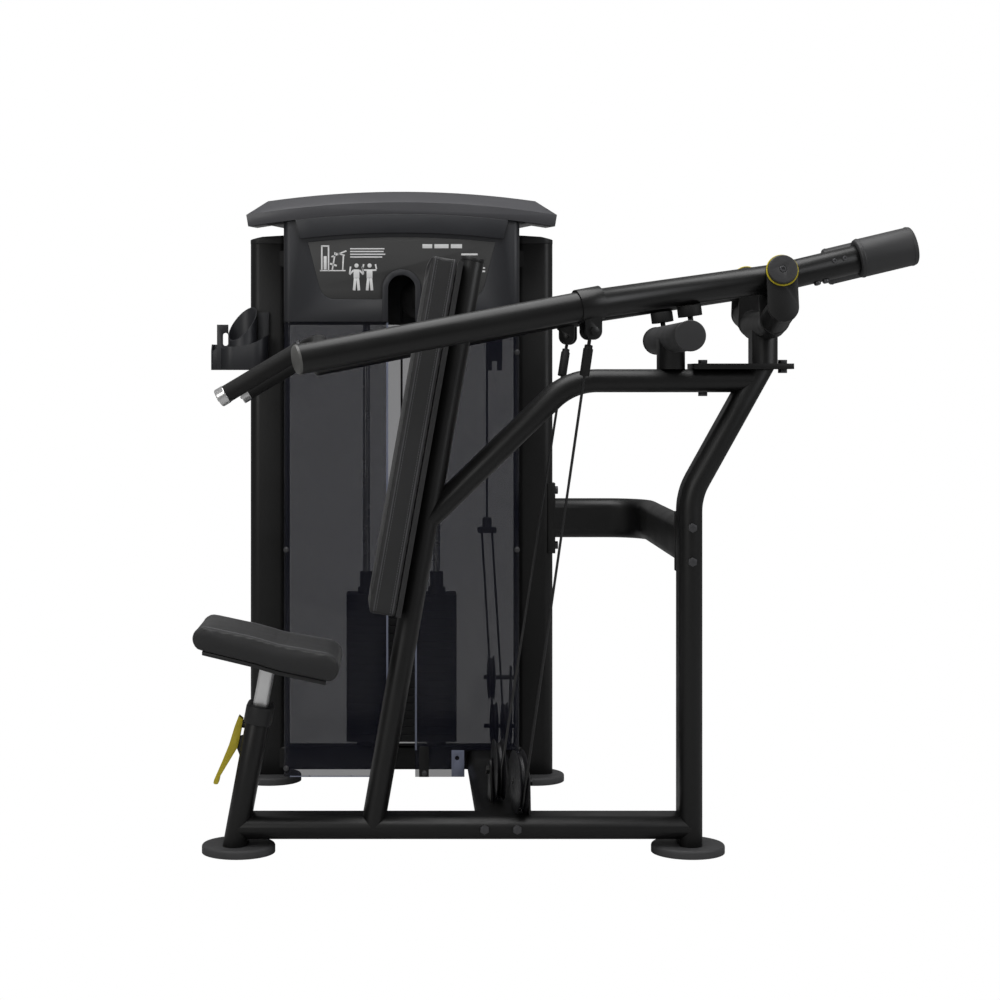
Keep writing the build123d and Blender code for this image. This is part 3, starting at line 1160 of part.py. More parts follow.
BRACKET_OFF = 20.0
link_outer = bent_tube([(LINK_X, 0, RAIL_Z), (LINK_X, TOWER_Y, RAIL_Z)], (1, 0, 0), wall=0)
with BuildPart() as base_pulley_brackets:
    for centre, side_axis, side in ((near_centre, near_side_axis, 1), (far_centre, far_side_axis, -1)):
        face = centre + side_axis * (side * BRACKET_OFF)
        plane = Plane(origin=face, x_dir=(-side_axis.Y, side_axis.X, 0), z_dir=side_axis)
        with BuildSketch(plane):
            with BuildLine():
                Polyline((-24, 12), (-34, RAIL_Z - BASE_PULLEY_Z + 8), (34, RAIL_Z - BASE_PULLEY_Z + 8), (24, 12))
                ThreePointArc((24, 12), (0, 27), (-24, 12))
            make_face()
        extrude(amount=2.5, both=True)
        add(rod(face + side_axis * (side * 2.4), centre - side_axis * (side * 17), AXLE_R))
        with BuildSketch(Plane(origin=face + side_axis * (side * 2.4), z_dir=side_axis * side)):
            RegularPolygon(11, 6)
        extrude(amount=8)
    add(rail_outer, mode=Mode.SUBTRACT)
    add(link_outer, mode=Mode.SUBTRACT)
save(base_pulley_brackets, "base_pulley_brackets")

with BuildPart() as tower_pulley_bracket:
    side_face = Plane(origin=(681, 0, 0), x_dir=(0, 1, 0), z_dir=(1, 0, 0))
    with BuildSketch(side_face):
        with BuildLine():
            Polyline((TOWER_FRONT_Y + 2, BASE_Z1), (TOWER_Y + 20, BASE_Z1), (TOWER_Y + 20, 190),
                     (GUIDE_PULLEY_Z + 540, 322), (785, 322), (779, 140), (800, 130), close=True)
        make_face()
    extrude(amount=2.5, both=True)
    add(rod(Vector(607, TOWER_PULLEY_Y, tower_z), Vector(691, TOWER_PULLEY_Y, tower_z), AXLE_R))
    add(rod(Vector(607, guide_centre.Y, guide_centre.Z), Vector(691, guide_centre.Y, guide_centre.Z), AXLE_R))
    add(post_outer[1], mode=Mode.SUBTRACT)
    add(base_outer, mode=Mode.SUBTRACT)
save(tower_pulley_bracket, "tower_pulley_bracket")

# ---------------------------------------------------------------- frame bolts
nose_y = -TUBE_DEEP / 2
bolt_spots = [(Vector(574, nose_y, 64), Vector(0, -1, 0)), (Vector(650, nose_y, 64), Vector(0, -1, 0)),
              (Vector(REAR_X, nose_y, 763), Vector(0, -1, 0)), (Vector(REAR_X, nose_y, 684), Vector(0, -1, 0)),
              (Vector(SADDLE_X1, TOWER_Y, 801.5), Vector(1, 0, 0)),
              (Vector(SADDLE_X1, TOWER_Y, 649.5), Vector(1, 0, 0)),
              (Vector(PLATE_BOLT_X[0], 0, PLATE_Z0 + PIVOT_PLATE_T), Vector(0, 0, 1)),
              (Vector(PLATE_BOLT_X[1], 0, PLATE_Z0 + PIVOT_PLATE_T), Vector(0, 0, 1)),
              (Vector(PLATE_BOLT_X[1], 0, PLATE_Z0), Vector(0, 0, -1)),
              (Vector(PLATE_BOLT_X[0], 0, BEAM_Z - TUBE_WIDE / 2), Vector(0, 0, -1))]
with BuildPart() as frame_bolts:
    for spot, direction in bolt_spots:
        add(hex_bolt(spot, direction, head_r=11, head_h=9, shank=0))
save(frame_bolts, "frame_bolts")
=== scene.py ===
"""Finishes, upholstery and fittings of a selectorised shoulder press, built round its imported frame.

X runs from the seat to the arm pivots, Y from the user station to the weight tower, Z up.
Sizes are written in millimetres and turned to metres by mm().
"""

import json
import math
import bmesh
import bpy
import numpy as np
from bpy.props import FloatProperty, FloatVectorProperty, PointerProperty
from mathutils import Matrix, Vector
from mathutils.bvhtree import BVHTree


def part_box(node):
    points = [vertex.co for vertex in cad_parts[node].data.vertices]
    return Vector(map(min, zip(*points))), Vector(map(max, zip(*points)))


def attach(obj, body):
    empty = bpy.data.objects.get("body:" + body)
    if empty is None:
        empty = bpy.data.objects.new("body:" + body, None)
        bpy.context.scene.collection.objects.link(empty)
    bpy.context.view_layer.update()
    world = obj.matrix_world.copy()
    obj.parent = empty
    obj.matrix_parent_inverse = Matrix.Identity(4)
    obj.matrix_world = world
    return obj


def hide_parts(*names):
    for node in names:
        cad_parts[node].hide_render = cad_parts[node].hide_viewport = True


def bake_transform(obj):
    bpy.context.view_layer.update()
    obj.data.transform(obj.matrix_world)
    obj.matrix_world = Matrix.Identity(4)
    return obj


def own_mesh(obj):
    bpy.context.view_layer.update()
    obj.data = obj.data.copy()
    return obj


bl_info = {
    "name": "Shoulder press finishes",
    "version": (1, 0, 0),
    "blender": (4, 5, 0),
    "location": "3D View > Sidebar > Press",
    "description": "Dresses the shoulder press frame with paint, upholstery, smoked panels and small fittings",
    "category": "Object",
}

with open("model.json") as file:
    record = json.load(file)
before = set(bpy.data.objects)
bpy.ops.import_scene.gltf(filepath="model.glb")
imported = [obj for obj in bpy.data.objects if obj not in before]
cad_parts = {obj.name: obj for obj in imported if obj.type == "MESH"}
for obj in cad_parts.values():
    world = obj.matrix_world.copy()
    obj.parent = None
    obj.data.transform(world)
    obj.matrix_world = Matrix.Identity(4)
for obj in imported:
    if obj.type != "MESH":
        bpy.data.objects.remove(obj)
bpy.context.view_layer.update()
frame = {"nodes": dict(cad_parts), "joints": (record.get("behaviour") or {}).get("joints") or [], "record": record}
JOINTS = {joint["name"]: joint for joint in frame["joints"]}
STATION = "station_and_tower"
NEAR_ARM, FAR_ARM = "near_press_arm", "far_press_arm"


def mm(*values):
    """Millimetres as metres: one number, or a point."""
    return values[0] / 1000 if len(values) == 1 else Vector(values) / 1000


# Places that the frame's boxes don't give
PIVOT = Vector(JOINTS["near_arm_press"]["pos_m"])
HINGE = Vector(JOINTS["near_arm_press"]["axis"])
PIVOT_OUT = -HINGE
PIVOT_UP = Vector((1, 0, 0)).cross(HINGE)
ARM_COLLAR = mm(793, -310, 1271)
ARM_END = mm(165, -490, 1149)
HANDLE_LOW = mm(-17, -317, 1066)
HANDLE_TOP = mm(205, -331, 1198)
TAIL = Vector((math.cos(math.radians(13.8)), 0, 0)) + PIVOT_UP * math.sin(math.radians(13.8))
BACK_FOOT = mm(319.3, 0, 90)
BACK_LEAN = math.radians(10)
BACK_UP = Vector((math.sin(BACK_LEAN), 0, math.cos(BACK_LEAN)))
BACK_REAR = Vector((math.cos(BACK_LEAN), 0, -math.sin(BACK_LEAN)))
TOWER_X, TOWER_Y = mm(382), mm(870)
SHROUD_FRONT = mm(705)
CAP_UNDER, CAP_ARCH = mm(1551), mm(2501)  # the arch's highest underside, and its radius
HEAD_HALF = mm(322)  # the cap overhangs the head beyond this
BUMPER = mm(1017, 0, 1203)


# ---------------------------------------------------------------- colours and shader nodes
def linear(text):
    """An sRGB hex colour as linear red, green, blue and alpha."""
    parts = [int(text[i:i + 2], 16) / 255 for i in (1, 3, 5)]
    return tuple(c / 12.92 if c <= 0.04045 else ((c + 0.055) / 1.055) ** 2.4 for c in parts) + (1.0,)


def put(tree, kind, links=None, **settings):
    """Adds a node with its settings; links maps each input to a value or to another node's output."""
    node = tree.nodes.new(kind)
    for name, value in settings.items():
        setattr(node, name, value)
    for name, value in (links or {}).items():
        if isinstance(value, bpy.types.NodeSocket):
            tree.links.new(value, node.inputs[name])
        else:
            node.inputs[name].default_value = value
    return node


def fresh_material(name):
    """An empty material with its tree, its shader and its object coordinates."""
    material = bpy.data.materials.new(name)
    material.use_nodes = True
    tree = material.node_tree
    tree.nodes.clear()
    shader = put(tree, "ShaderNodeBsdfPrincipled")
    put(tree, "ShaderNodeOutputMaterial", {"Surface": shader.outputs["BSDF"]})
    place = put(tree, "ShaderNodeTexCoord").outputs["Object"]
    return material, tree, shader, place


def dress(tree, shader, place, colour, rough, grain, depth, cloud=90.0, vary=0.12):
    """Colour that drifts a little over the piece, and a fine grain in the bump; gives back the bump node.

    grain is the size of one grain and cloud that of one patch of colour, in millimetres.
    """
    patch = put(tree, "ShaderNodeTexNoise", {"Vector": place, "Scale": 1000 / cloud, "Detail": 4.0})
    fine = put(tree, "ShaderNodeTexNoise", {"Vector": place, "Scale": 1000 / grain, "Detail": 3.0})
    dark = tuple(c * (1 - vary) for c in colour[:3]) + (1.0,)
    light = tuple(c * (1 + vary) for c in colour[:3]) + (1.0,)
    blend = put(tree, "ShaderNodeMix", {0: patch.outputs["Fac"], 6: dark, 7: light}, data_type="RGBA")
    tree.links.new(blend.outputs[2], shader.inputs["Base Color"])
    spread = put(tree, "ShaderNodeMapRange", {"Value": patch.outputs["Fac"], "From Min": 0.3, "From Max": 0.7,
                                              "To Min": rough * 0.88, "To Max": rough * 1.12})
    tree.links.new(spread.outputs["Result"], shader.inputs["Roughness"])
    bump = put(tree, "ShaderNodeBump", {"Height": fine.outputs["Fac"], "Strength": 1.0, "Distance": mm(depth)})
    tree.links.new(bump.outputs["Normal"], shader.inputs["Normal"])
    return bump


# ---------------------------------------------------------------- materials
def powder_coat(name, colour, rough=0.42):
    """Polyester powder coat on steel: a satin film with a fine orange-peel skin that breaks up its highlights."""
    material, tree, shader, place = fresh_material(name)
    dress(tree, shader, place, colour, rough, grain=1.6, depth=0.05)
    shader.inputs["Specular IOR Level"].default_value = 0.45
    return material


def moulded(name, colour, rough=0.5, grain=0.9, depth=0.04):
    """Injection-moulded ABS: a spark-eroded skin that scatters light evenly."""
    material, tree, shader, place = fresh_material(name)
    dress(tree, shader, place, colour, rough, grain, depth, cloud=140.0, vary=0.06)
    shader.inputs["IOR"].default_value = 1.53
    return material


def rubber(name, colour, rough=0.7):
    """Moulded rubber: dull, with a soft sheen at the edges and a little bloom."""
    material, tree, shader, place = fresh_material(name)
    dress(tree, shader, place, colour, rough, grain=1.1, depth=0.06, cloud=40.0, vary=0.16)
    shader.inputs["Specular IOR Level"].default_value = 0.35
    return material


def vinyl(name, colour):
    """Calendered upholstery vinyl: small raised pebbles with fine creases between them, and a low lustre."""
    material, tree, shader, place = fresh_material(name)
    bump = dress(tree, shader, place, colour, 0.5, grain=0.8, depth=0.05, cloud=60.0)
    pebble = put(tree, "ShaderNodeTexVoronoi", {"Vector": place, "Scale": 1000 / 2.6},
                 feature="DISTANCE_TO_EDGE")
    crease = put(tree, "ShaderNodeMapRange", {"Value": pebble.outputs["Distance"], "From Min": 0.0, "From Max": 0.12})
    relief = put(tree, "ShaderNodeBump", {"Height": crease.outputs["Result"], "Strength": 0.8,
                                          "Distance": mm(0.22), "Normal": bump.outputs["Normal"]})
    tree.links.new(relief.outputs["Normal"], shader.inputs["Normal"])
    shader.inputs["Sheen Weight"].default_value = 0.12
    shader.inputs["Sheen Roughness"].default_value = 0.4
    return material


def bare_metal(name, colour, rough, brushed=False, metal=1.0):
    """Chrome plate or bright zinc: a clean reflection with faint polishing marks."""
    material, tree, shader, place = fresh_material(name)
    bump = dress(tree, shader, place, colour, rough, grain=0.7, depth=0.006, cloud=30.0, vary=0.04)
    if brushed:
        along = put(tree, "ShaderNodeMapping", {"Vector": place, "Scale": (1.0, 1.0, 0.04)})
        lines = put(tree, "ShaderNodeTexNoise", {"Vector": along.outputs["Vector"], "Scale": 1000 / 0.5})
        tree.links.new(lines.outputs["Fac"], bump.inputs["Height"])
    shader.inputs["Metallic"].default_value = metal
    return material


def smoked_sheet(name, colour, through):
    """Smoked polycarbonate sheet: clear with a blue-grey tint, darker through each face, and glossy."""
    material, tree, shader, place = fresh_material(name)
    wave = put(tree, "ShaderNodeTexNoise", {"Vector": place, "Scale": 1000 / 180.0, "Detail": 1.0})
    bump = put(tree, "ShaderNodeBump", {"Height": wave.outputs["Fac"], "Strength": 0.5, "Distance": mm(0.4)})
    tree.links.new(bump.outputs["Normal"], shader.inputs["Normal"])
    shader.inputs["Base Color"].default_value = colour
    shader.inputs["Roughness"].default_value = 0.12
    shader.inputs["Specular IOR Level"].default_value = 0.3
    shader.inputs["Alpha"].default_value = through
    return material


def print_ink(name, colour):
    """Screen-printed ink on the placard: flat, slightly raised and matt."""
    material, tree, shader, place = fresh_material(name)
    dress(tree, shader, place, colour, 0.6, grain=0.6, depth=0.01, cloud=20.0, vary=0.03)
    return material


def build_materials(looks):
    """Every finish, by the plain word the pieces use for it."""
    return {
        "paint": powder_coat("Black_powder_coat", tuple(looks.paint)),
        "arm_paint": powder_coat("Black_powder_coat_arm", tuple(looks.paint), rough=0.36),
        "vinyl": vinyl("Pebbled_black_vinyl", tuple(looks.vinyl)),
        # the piping is upholstery vinyl painted a lighter grey than the pads, a painted highlight along the seams
        "piping": rubber("Vinyl_piping_painted_highlight", linear("#4e4e50"), rough=0.45),
        "thread": rubber("Grey_polyester_thread", linear("#5f5f61"), rough=0.6),
        "foot": rubber("Grey_foot_rubber", linear("#4b4b4c"), rough=0.6),
        "grip": rubber("Black_grip_rubber", linear("#161616"), rough=0.62),
        "weight": powder_coat("Grey_counterweight_enamel", linear("#343435"), rough=0.5),
        "shell": moulded("Black_ABS_shell", linear("#171718"), rough=0.5),
        "head": moulded("Charcoal_ABS_head", linear("#242529"), rough=0.46),
        "cap": moulded("Grey_ABS_cap", linear("#434346"), rough=0.34),
        "cup": moulded("Charcoal_ABS_holder", linear("#1d1e22"), rough=0.44),
        "plaque": moulded("Placard_film", linear("#343434"), rough=0.5, grain=0.6, depth=0.02),
        "ink": print_ink("White_ink", linear("#dcdcdc")),
        "smoke": smoked_sheet("Smoked_polycarbonate", tuple(looks.smoke), looks.smoke_density),
        # the rear shroud is the same smoked sheet, painted a lighter, bluer tint as painted backlight coming through
        # the rear panel
        "smoke_rear_painted_backlight": smoked_sheet("Smoked_polycarbonate_rear_painted_backlight", tuple(looks.smoke_rear_painted_backlight), looks.smoke_density),
        # painted glint: an opaque light grey-blue stands in for light caught in the clear sheet's polished edges
        "edge": moulded("Sheet_edge_painted_glint", linear("#757a8c"), rough=0.25, grain=0.6, depth=0.01),
        "iron": powder_coat("Black_plate_enamel", linear("#18181a"), rough=0.5),
        "chrome": bare_metal("Satin_chrome_post", linear("#e6e6e6"), 0.3, metal=0.7),
        "satin": bare_metal("Satin_chrome", linear("#dcdcdc"), 0.26, brushed=True, metal=0.8),
        "bolt": bare_metal("Black_zinc", linear("#58585a"), 0.42, metal=0.8),
        "knob": powder_coat("Grey_knob_enamel", linear("#363637"), rough=0.4),
        "yellow": powder_coat("Yellow_powder_coat", tuple(looks.accent), rough=0.45),
        "nylon": moulded("Black_pulley_nylon", linear("#17171a"), rough=0.42),
        "cable": moulded("Nylon_cable_coat", linear("#101011"), rough=0.35, grain=0.8, depth=0.06),
        "endcap": moulded("Grey_end_plug", linear("#5d5d5b"), rough=0.45),
    }


MATERIALS = {}
TREES = {}
FOAM_START = 0.5  # a pad starts this share of its swell inside its full size
CLOTH_FRAMES = 20


# ---------------------------------------------------------------- making and placing pieces
def settle(piece, body, finish):
    """Gives a finished piece its material and the body it rides on."""
    piece.data.materials.clear()
    piece.data.materials.append(MATERIALS[finish])
    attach(piece, body)
    return piece


def shade(mesh, angle=35.0):
    """Smooth shading that stays sharp over edges steeper than the angle."""
    mesh.shade_smooth()
    mesh.set_sharp_from_angle(angle=math.radians(angle))


def add_object(name, mesh):
    """Links a mesh to the scene as an object at the origin."""
    piece = bpy.data.objects.new(name, mesh)
    bpy.context.scene.collection.objects.link(piece)
    return piece


def from_bmesh(name, form, angle=35.0):
    """Turns a bmesh into a closed, outward-facing object."""
    bmesh.ops.recalc_face_normals(form, faces=form.faces)
    mesh = bpy.data.meshes.new(name)
    form.to_mesh(mesh)
    form.free()
    shade(mesh, angle)
    return add_object(name, mesh)


def bake_modifiers(piece):
    """Replaces a piece's mesh by its modified one and drops the modifiers."""
    graph = bpy.context.evaluated_depsgraph_get()
    mesh = bpy.data.meshes.new_from_object(piece.evaluated_get(graph))
    piece.modifiers.clear()
    old, piece.data = piece.data, mesh
    if old.users == 0:
        bpy.data.meshes.remove(old)
    return piece


def skin(node, name, angle=35.0, ease=0.0):
    """A CAD node's skin with its points merged, curved faces smooth and, if asked, its edges eased."""
    form = bmesh.new()
    form.from_mesh(frame["nodes"][node].data)
    bmesh.ops.remove_doubles(form, verts=form.verts, dist=mm(0.002))
    bmesh.ops.dissolve_limit(form, angle_limit=math.radians(0.15), verts=form.verts, edges=form.edges)
    mesh = bpy.data.meshes.new(name)
    form.to_mesh(mesh)
    form.free()
    piece = add_object(name, mesh)
    if ease:
        bevel = piece.modifiers.new("Eased", "BEVEL")
        bevel.width = mm(ease)
        bevel.segments = 2
        bevel.limit_method = "ANGLE"
        bevel.angle_limit = math.radians(38)
        bevel.use_clamp_overlap = True
        bake_modifiers(piece)
    shade(piece.data, angle)
    return piece


def refinish(node, body, finish, ease=0.0, angle=35.0):
    """Stands a smooth skin in for a CAD node whose shape is right."""
    name = "skin_" + node
    piece = settle(skin(node, name, angle, ease), body, finish)
    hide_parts(node)
    return piece


def turned(name, start, axis, profile, steps=48):
    """A turned piece: profile is a list of (distance along the axis, radius) in millimetres."""
    axis = Vector(axis).normalized()
    side = axis.orthogonal().normalized()
    form = bmesh.new()
    rim = [form.verts.new(start + axis * mm(a) + side * mm(r)) for a, r in profile]
    for one, two in zip(rim, rim[1:]):
        form.edges.new((one, two))
    bmesh.ops.spin(form, geom=form.verts[:] + form.edges[:], cent=start, axis=axis, angle=2 * math.pi,
                   steps=steps, use_merge=True)
    bmesh.ops.remove_doubles(form, verts=form.verts, dist=mm(0.01))
    return from_bmesh(name, form)


def tube(name, points, radius, closed=False, sides=4, smooth=True):
    """A round cord or bead along points."""
    curve = bpy.data.curves.new(name, "CURVE")
    curve.dimensions = "3D"
    curve.bevel_depth = radius
    curve.bevel_resolution = sides
    curve.use_fill_caps = True
    spline = curve.splines.new("POLY")
    spline.points.add(len(points) - 1)
    for point, place in zip(spline.points, points):
        point.co = (*place, 1.0)
    spline.use_cyclic_u = closed
    holder = bpy.data.objects.new(name + "_path", curve)
    bpy.context.scene.collection.objects.link(holder)
    graph = bpy.context.evaluated_depsgraph_get()
    mesh = bpy.data.meshes.new_from_object(holder.evaluated_get(graph))
    bpy.data.objects.remove(holder)
    mesh.name = name
    if smooth:
        shade(mesh, 50)
    return add_object(name, mesh)


def slab(name, origin, along, up, outlines, low, high, ease=0.3, angle=35.0):
    """A flat plate from outlines (the first is its edge, the others are holes), given in millimetres
    along and up from the origin, between two heights on the third axis."""
    along, up = Vector(along).normalized(), Vector(up).normalized()
    out = along.cross(up)
    curve = bpy.data.curves.new(name, "CURVE")
    curve.dimensions = "2D"
    curve.fill_mode = "BOTH"
    curve.extrude = mm(high - low) / 2 - mm(ease)
    curve.bevel_depth = mm(ease)
    curve.bevel_resolution = 1
    curve.offset = -mm(ease)
    for outline in outlines:
        spline = curve.splines.new("POLY")
        spline.points.add(len(outline) - 1)
        for point, (a, b) in zip(spline.points, outline):
            point.co = (mm(a), mm(b), 0, 1)
        spline.use_cyclic_u = True
    holder = bpy.data.objects.new(name + "_outline", curve)
    bpy.context.scene.collection.objects.link(holder)
    graph = bpy.context.evaluated_depsgraph_get()
    mesh = bpy.data.meshes.new_from_object(holder.evaluated_get(graph))
    bpy.data.objects.remove(holder)
    mesh.name = name
    centre = origin + out * mm(high + low) / 2
    mesh.transform(Matrix((
        (along.x, up.x, out.x, centre.x), (along.y, up.y, out.y, centre.y),
        (along.z, up.z, out.z, centre.z), (0, 0, 0, 1))))
    form = bmesh.new()
    form.from_mesh(mesh)
    bmesh.ops.remove_doubles(form, verts=form.verts, dist=mm(0.005))
    bpy.data.meshes.remove(mesh)
    return from_bmesh(name, form, angle)


def arc(centre, radius, start, end, steps=12):
    """Points on an arc, in degrees."""
    return [(centre[0] + radius * math.cos(math.radians(start + (end - start) * i / steps)),
             centre[1] + radius * math.sin(math.radians(start + (end - start) * i / steps)))
            for i in range(steps + 1)]


def ring(centre, radius, steps=28):
    """Points round a circle, without its first point twice."""
    return arc(centre, radius, 0, 360, steps)[:-1]


def rounded(width, height, radius, centre=(0, 0)):
    """Points round a rectangle with rounded corners."""
    x, y = width / 2 - radius, height / 2 - radius
    points = []
    for cx, cy, start in ((x, y, 0), (-x, y, 90), (-x, -y, 180), (x, -y, 270)):
        points += arc((centre[0] + cx, centre[1] + cy), radius, start, start + 90, 5)
    return points


def join(name, pieces):
    """Several pieces as one mesh."""
    form = bmesh.new()
    for piece in pieces:
        form.from_mesh(piece.data)
        bpy.data.objects.remove(piece)
    mesh = bpy.data.meshes.new(name)
    form.to_mesh(mesh)
    form.free()
    shade(mesh)
    return add_object(name, mesh)


def far_copy(piece, name):
    """The mirror image of a near-side piece, on the far side."""
    mesh = piece.data.copy()
    mesh.transform(Matrix.Diagonal((1, -1, 1, 1)))
    mesh.flip_normals()
    return add_object(name, mesh)


def settle_pair(piece, name, near_body, far_body, finish):
    """Settles a near-side piece and its mirror image."""
    other = far_copy(piece, "far_" + name)
    piece.name = "near_" + name
    settle(piece, near_body, finish)
    settle(other, far_body, finish)
    return piece, other


# ---------------------------------------------------------------- repeats
def new_tree(name, sockets):
    """An empty geometry tree with its named inputs."""
    tree = bpy.data.node_groups.new(name, "GeometryNodeTree")
    tree.interface.new_socket("Geometry", in_out="INPUT", socket_type="NodeSocketGeometry")
    for label, kind, default in sockets:
        socket = tree.interface.new_socket(label, in_out="INPUT", socket_type=kind)
        if default is not None:
            socket.default_value = default
    tree.interface.new_socket("Geometry", in_out="OUTPUT", socket_type="NodeSocketGeometry")
    return tree, put(tree, "NodeGroupInput")


def close_tree(tree, geometry, finish):
    """Ends a tree in plain geometry with its material."""
    real = put(tree, "GeometryNodeRealizeInstances", {"Geometry": geometry})
    painted = put(tree, "GeometryNodeSetMaterial", {"Geometry": real.outputs[0], "Material": MATERIALS[finish]})
    put(tree, "NodeGroupOutput", {"Geometry": painted.outputs[0]})
    return tree


def stitch_tree():
    """Stitches laid end to end along a path."""
    tree, given = new_tree("Stitches", [("Spacing", "NodeSocketFloat", mm(6)), ("Length", "NodeSocketFloat", mm(4)),
                                        ("Thickness", "NodeSocketFloat", mm(0.7))])
    path = put(tree, "GeometryNodeMeshToCurve", {"Mesh": given.outputs["Geometry"]})
    dots = put(tree, "GeometryNodeResampleCurve", {"Curve": path.outputs[0], "Length": given.outputs["Spacing"]},
               mode="LENGTH")
    run = put(tree, "GeometryNodeInputTangent")
    turn = put(tree, "FunctionNodeAlignRotationToVector", {"Vector": run.outputs[0]}, axis="Z")
    thread = put(tree, "GeometryNodeMeshCylinder", {"Vertices": 6, "Radius": given.outputs["Thickness"],
                                                    "Depth": given.outputs["Length"]})
    rows = put(tree, "GeometryNodeInstanceOnPoints", {"Points": dots.outputs[0], "Instance": thread.outputs[0],
                                                      "Rotation": turn.outputs[0]})
    return close_tree(tree, rows.outputs[0], "thread")


def stack_tree():
    """Copies of a plate at an even pitch."""
    tree, given = new_tree("Plate stack", [("Plates", "NodeSocketInt", 14), ("Pitch", "NodeSocketFloat", mm(21.2))])
    step = put(tree, "ShaderNodeCombineXYZ", {"Z": given.outputs["Pitch"]})
    line = put(tree, "GeometryNodeMeshLine", {"Count": given.outputs["Plates"], "Offset": step.outputs[0]})
    plates = put(tree, "GeometryNodeInstanceOnPoints", {"Points": line.outputs[0],
                                                        "Instance": given.outputs["Geometry"]})
    return close_tree(tree, plates.outputs[0], "iron")


def run_tree(piece, tree, **values):
    """Runs a geometry tree on a piece and keeps the result as its mesh."""
    modifier = piece.modifiers.new(tree.name, "NODES")
    modifier.node_group = tree
    keys = {item.name: item.identifier for item in tree.interface.items_tree if item.in_out == "INPUT"}
    for label, value in values.items():
        modifier[keys[label]] = value
    return bake_modifiers(piece)


# ---------------------------------------------------------------- settings
class PressLooks(bpy.types.PropertyGroup):
    """Colours that a user would change"""
    paint: FloatVectorProperty(name="Frame paint", description="Powder coat of the frame and arms", size=4,
                               subtype="COLOR", min=0, max=1, default=linear("#0b0b0b"))
    vinyl: FloatVectorProperty(name="Vinyl", description="Upholstery of the seat and the back pad", size=4,
                               subtype="COLOR", min=0, max=1, default=linear("#202021"))
    accent: FloatVectorProperty(name="Accent", description="Adjusting lever and pivot rings", size=4,
                                subtype="COLOR", min=0, max=1, default=linear("#c8b72c"))
    smoke: FloatVectorProperty(name="Smoke", description="Tint of the front shroud", size=4, subtype="COLOR",
                               min=0, max=1, default=linear("#1b1c26"))
    # painted backlight: the rear shroud's lighter, bluer tint stands in for light coming through it, not a different
    # plastic
    smoke_rear_painted_backlight: FloatVectorProperty(name="Rear smoke", description="Tint of the rear shroud", size=4,
                                    subtype="COLOR", min=0, max=1, default=linear("#353a66"))
    smoke_density: FloatProperty(name="Smoke density", description="Share of light that one face of the shroud stops",
                                 min=0.05, max=0.95, subtype="FACTOR", default=0.55)


class PressSizes(bpy.types.PropertyGroup):
    """Sizes that a user would change"""
    piping: FloatProperty(name="Piping", description="Radius of the piping on the pads", unit="LENGTH",
                          default=mm(1.8))
    swell: FloatProperty(name="Swell", description="How far the foam may push the vinyl out", unit="LENGTH",
                         default=mm(5))
    voxel: FloatProperty(name="Cell", description="Cell size of the upholstery mesh", unit="LENGTH",
                         default=mm(6))
    stitch: FloatProperty(name="Stitch pitch", description="Distance from one stitch to the next", unit="LENGTH",
                          default=mm(6))


# ---------------------------------------------------------------- upholstery
def swell_foam(piece, held, swell, voxel):
    """Fills a pad with foam: its vinyl swells under pressure, stays put where held() says it is fixed,
    and moves no further than swell."""
    shrink = piece.modifiers.new("Shrunk", "DISPLACE")
    shrink.strength = -swell * FOAM_START
    shrink.mid_level = 0
    remesh = piece.modifiers.new("Cells", "REMESH")
    remesh.mode = "VOXEL"
    remesh.voxel_size = voxel
    bake_modifiers(piece)
    start = np.array([v.co for v in piece.data.vertices])
    fixed = piece.vertex_groups.new(name="fixed")
    fixed.add([v.index for v in piece.data.vertices if held(v.co)], 1.0, "REPLACE")
    cloth = piece.modifiers.new("Cloth", "CLOTH")
    rules = cloth.settings
    rules.vertex_group_mass = "fixed"
    rules.use_pressure = True
    rules.uniform_pressure_force = 4.0
    rules.tension_stiffness = rules.compression_stiffness = 40.0
    rules.effector_weights.gravity = 0.0
    for number in range(1, CLOTH_FRAMES + 1):
        bpy.context.scene.frame_set(number)
    graph = bpy.context.evaluated_depsgraph_get()
    end = np.array([v.co for v in piece.evaluated_get(graph).data.vertices])
    piece.modifiers.clear()
    piece.vertex_groups.clear()
    bpy.context.scene.frame_set(1)
    move = end - start
    reach = np.linalg.norm(move, axis=1, keepdims=True)
    move *= np.minimum(1.0, swell / np.maximum(reach, 1e-9))
    piece.data.vertices.foreach_set("co", (start + move).astype(np.float32).ravel())
    return piece


def refine(piece, times=1):
    """Subdivides a pad's skin and smooths it."""
    divide = piece.modifiers.new("Fine", "SUBSURF")
    divide.levels = divide.render_levels = times
    bake_modifiers(piece)
    shade(piece.data, 180)
    return piece


def seam_path(pad, outside, inside, sink):
    """Points where rays from outside to inside meet the pad, sunk a little into it."""
    tree = BVHTree.FromObject(pad, bpy.context.evaluated_depsgraph_get())
    found = []
    for far, near in zip(outside, inside):
        hit = tree.ray_cast(far, (near - far).normalized(), (near - far).length)[0]
        if hit is not None:
            found.append(hit + (near - far).normalized() * sink)
    return found


def even(outside, inside, step=0.012):
    """Adds points between those of two matched closed loops, so that their long sides follow the pad."""
    wide, narrow = [], []
    for i, point in enumerate(outside):
        after, near, near_after = outside[(i + 1) % len(outside)], inside[i], inside[(i + 1) % len(inside)]
        count = max(1, int((after - point).length / step))
        for k in range(count):
            wide.append(point.lerp(after, k / count))
            narrow.append(near.lerp(near_after, k / count))
    return wide, narrow


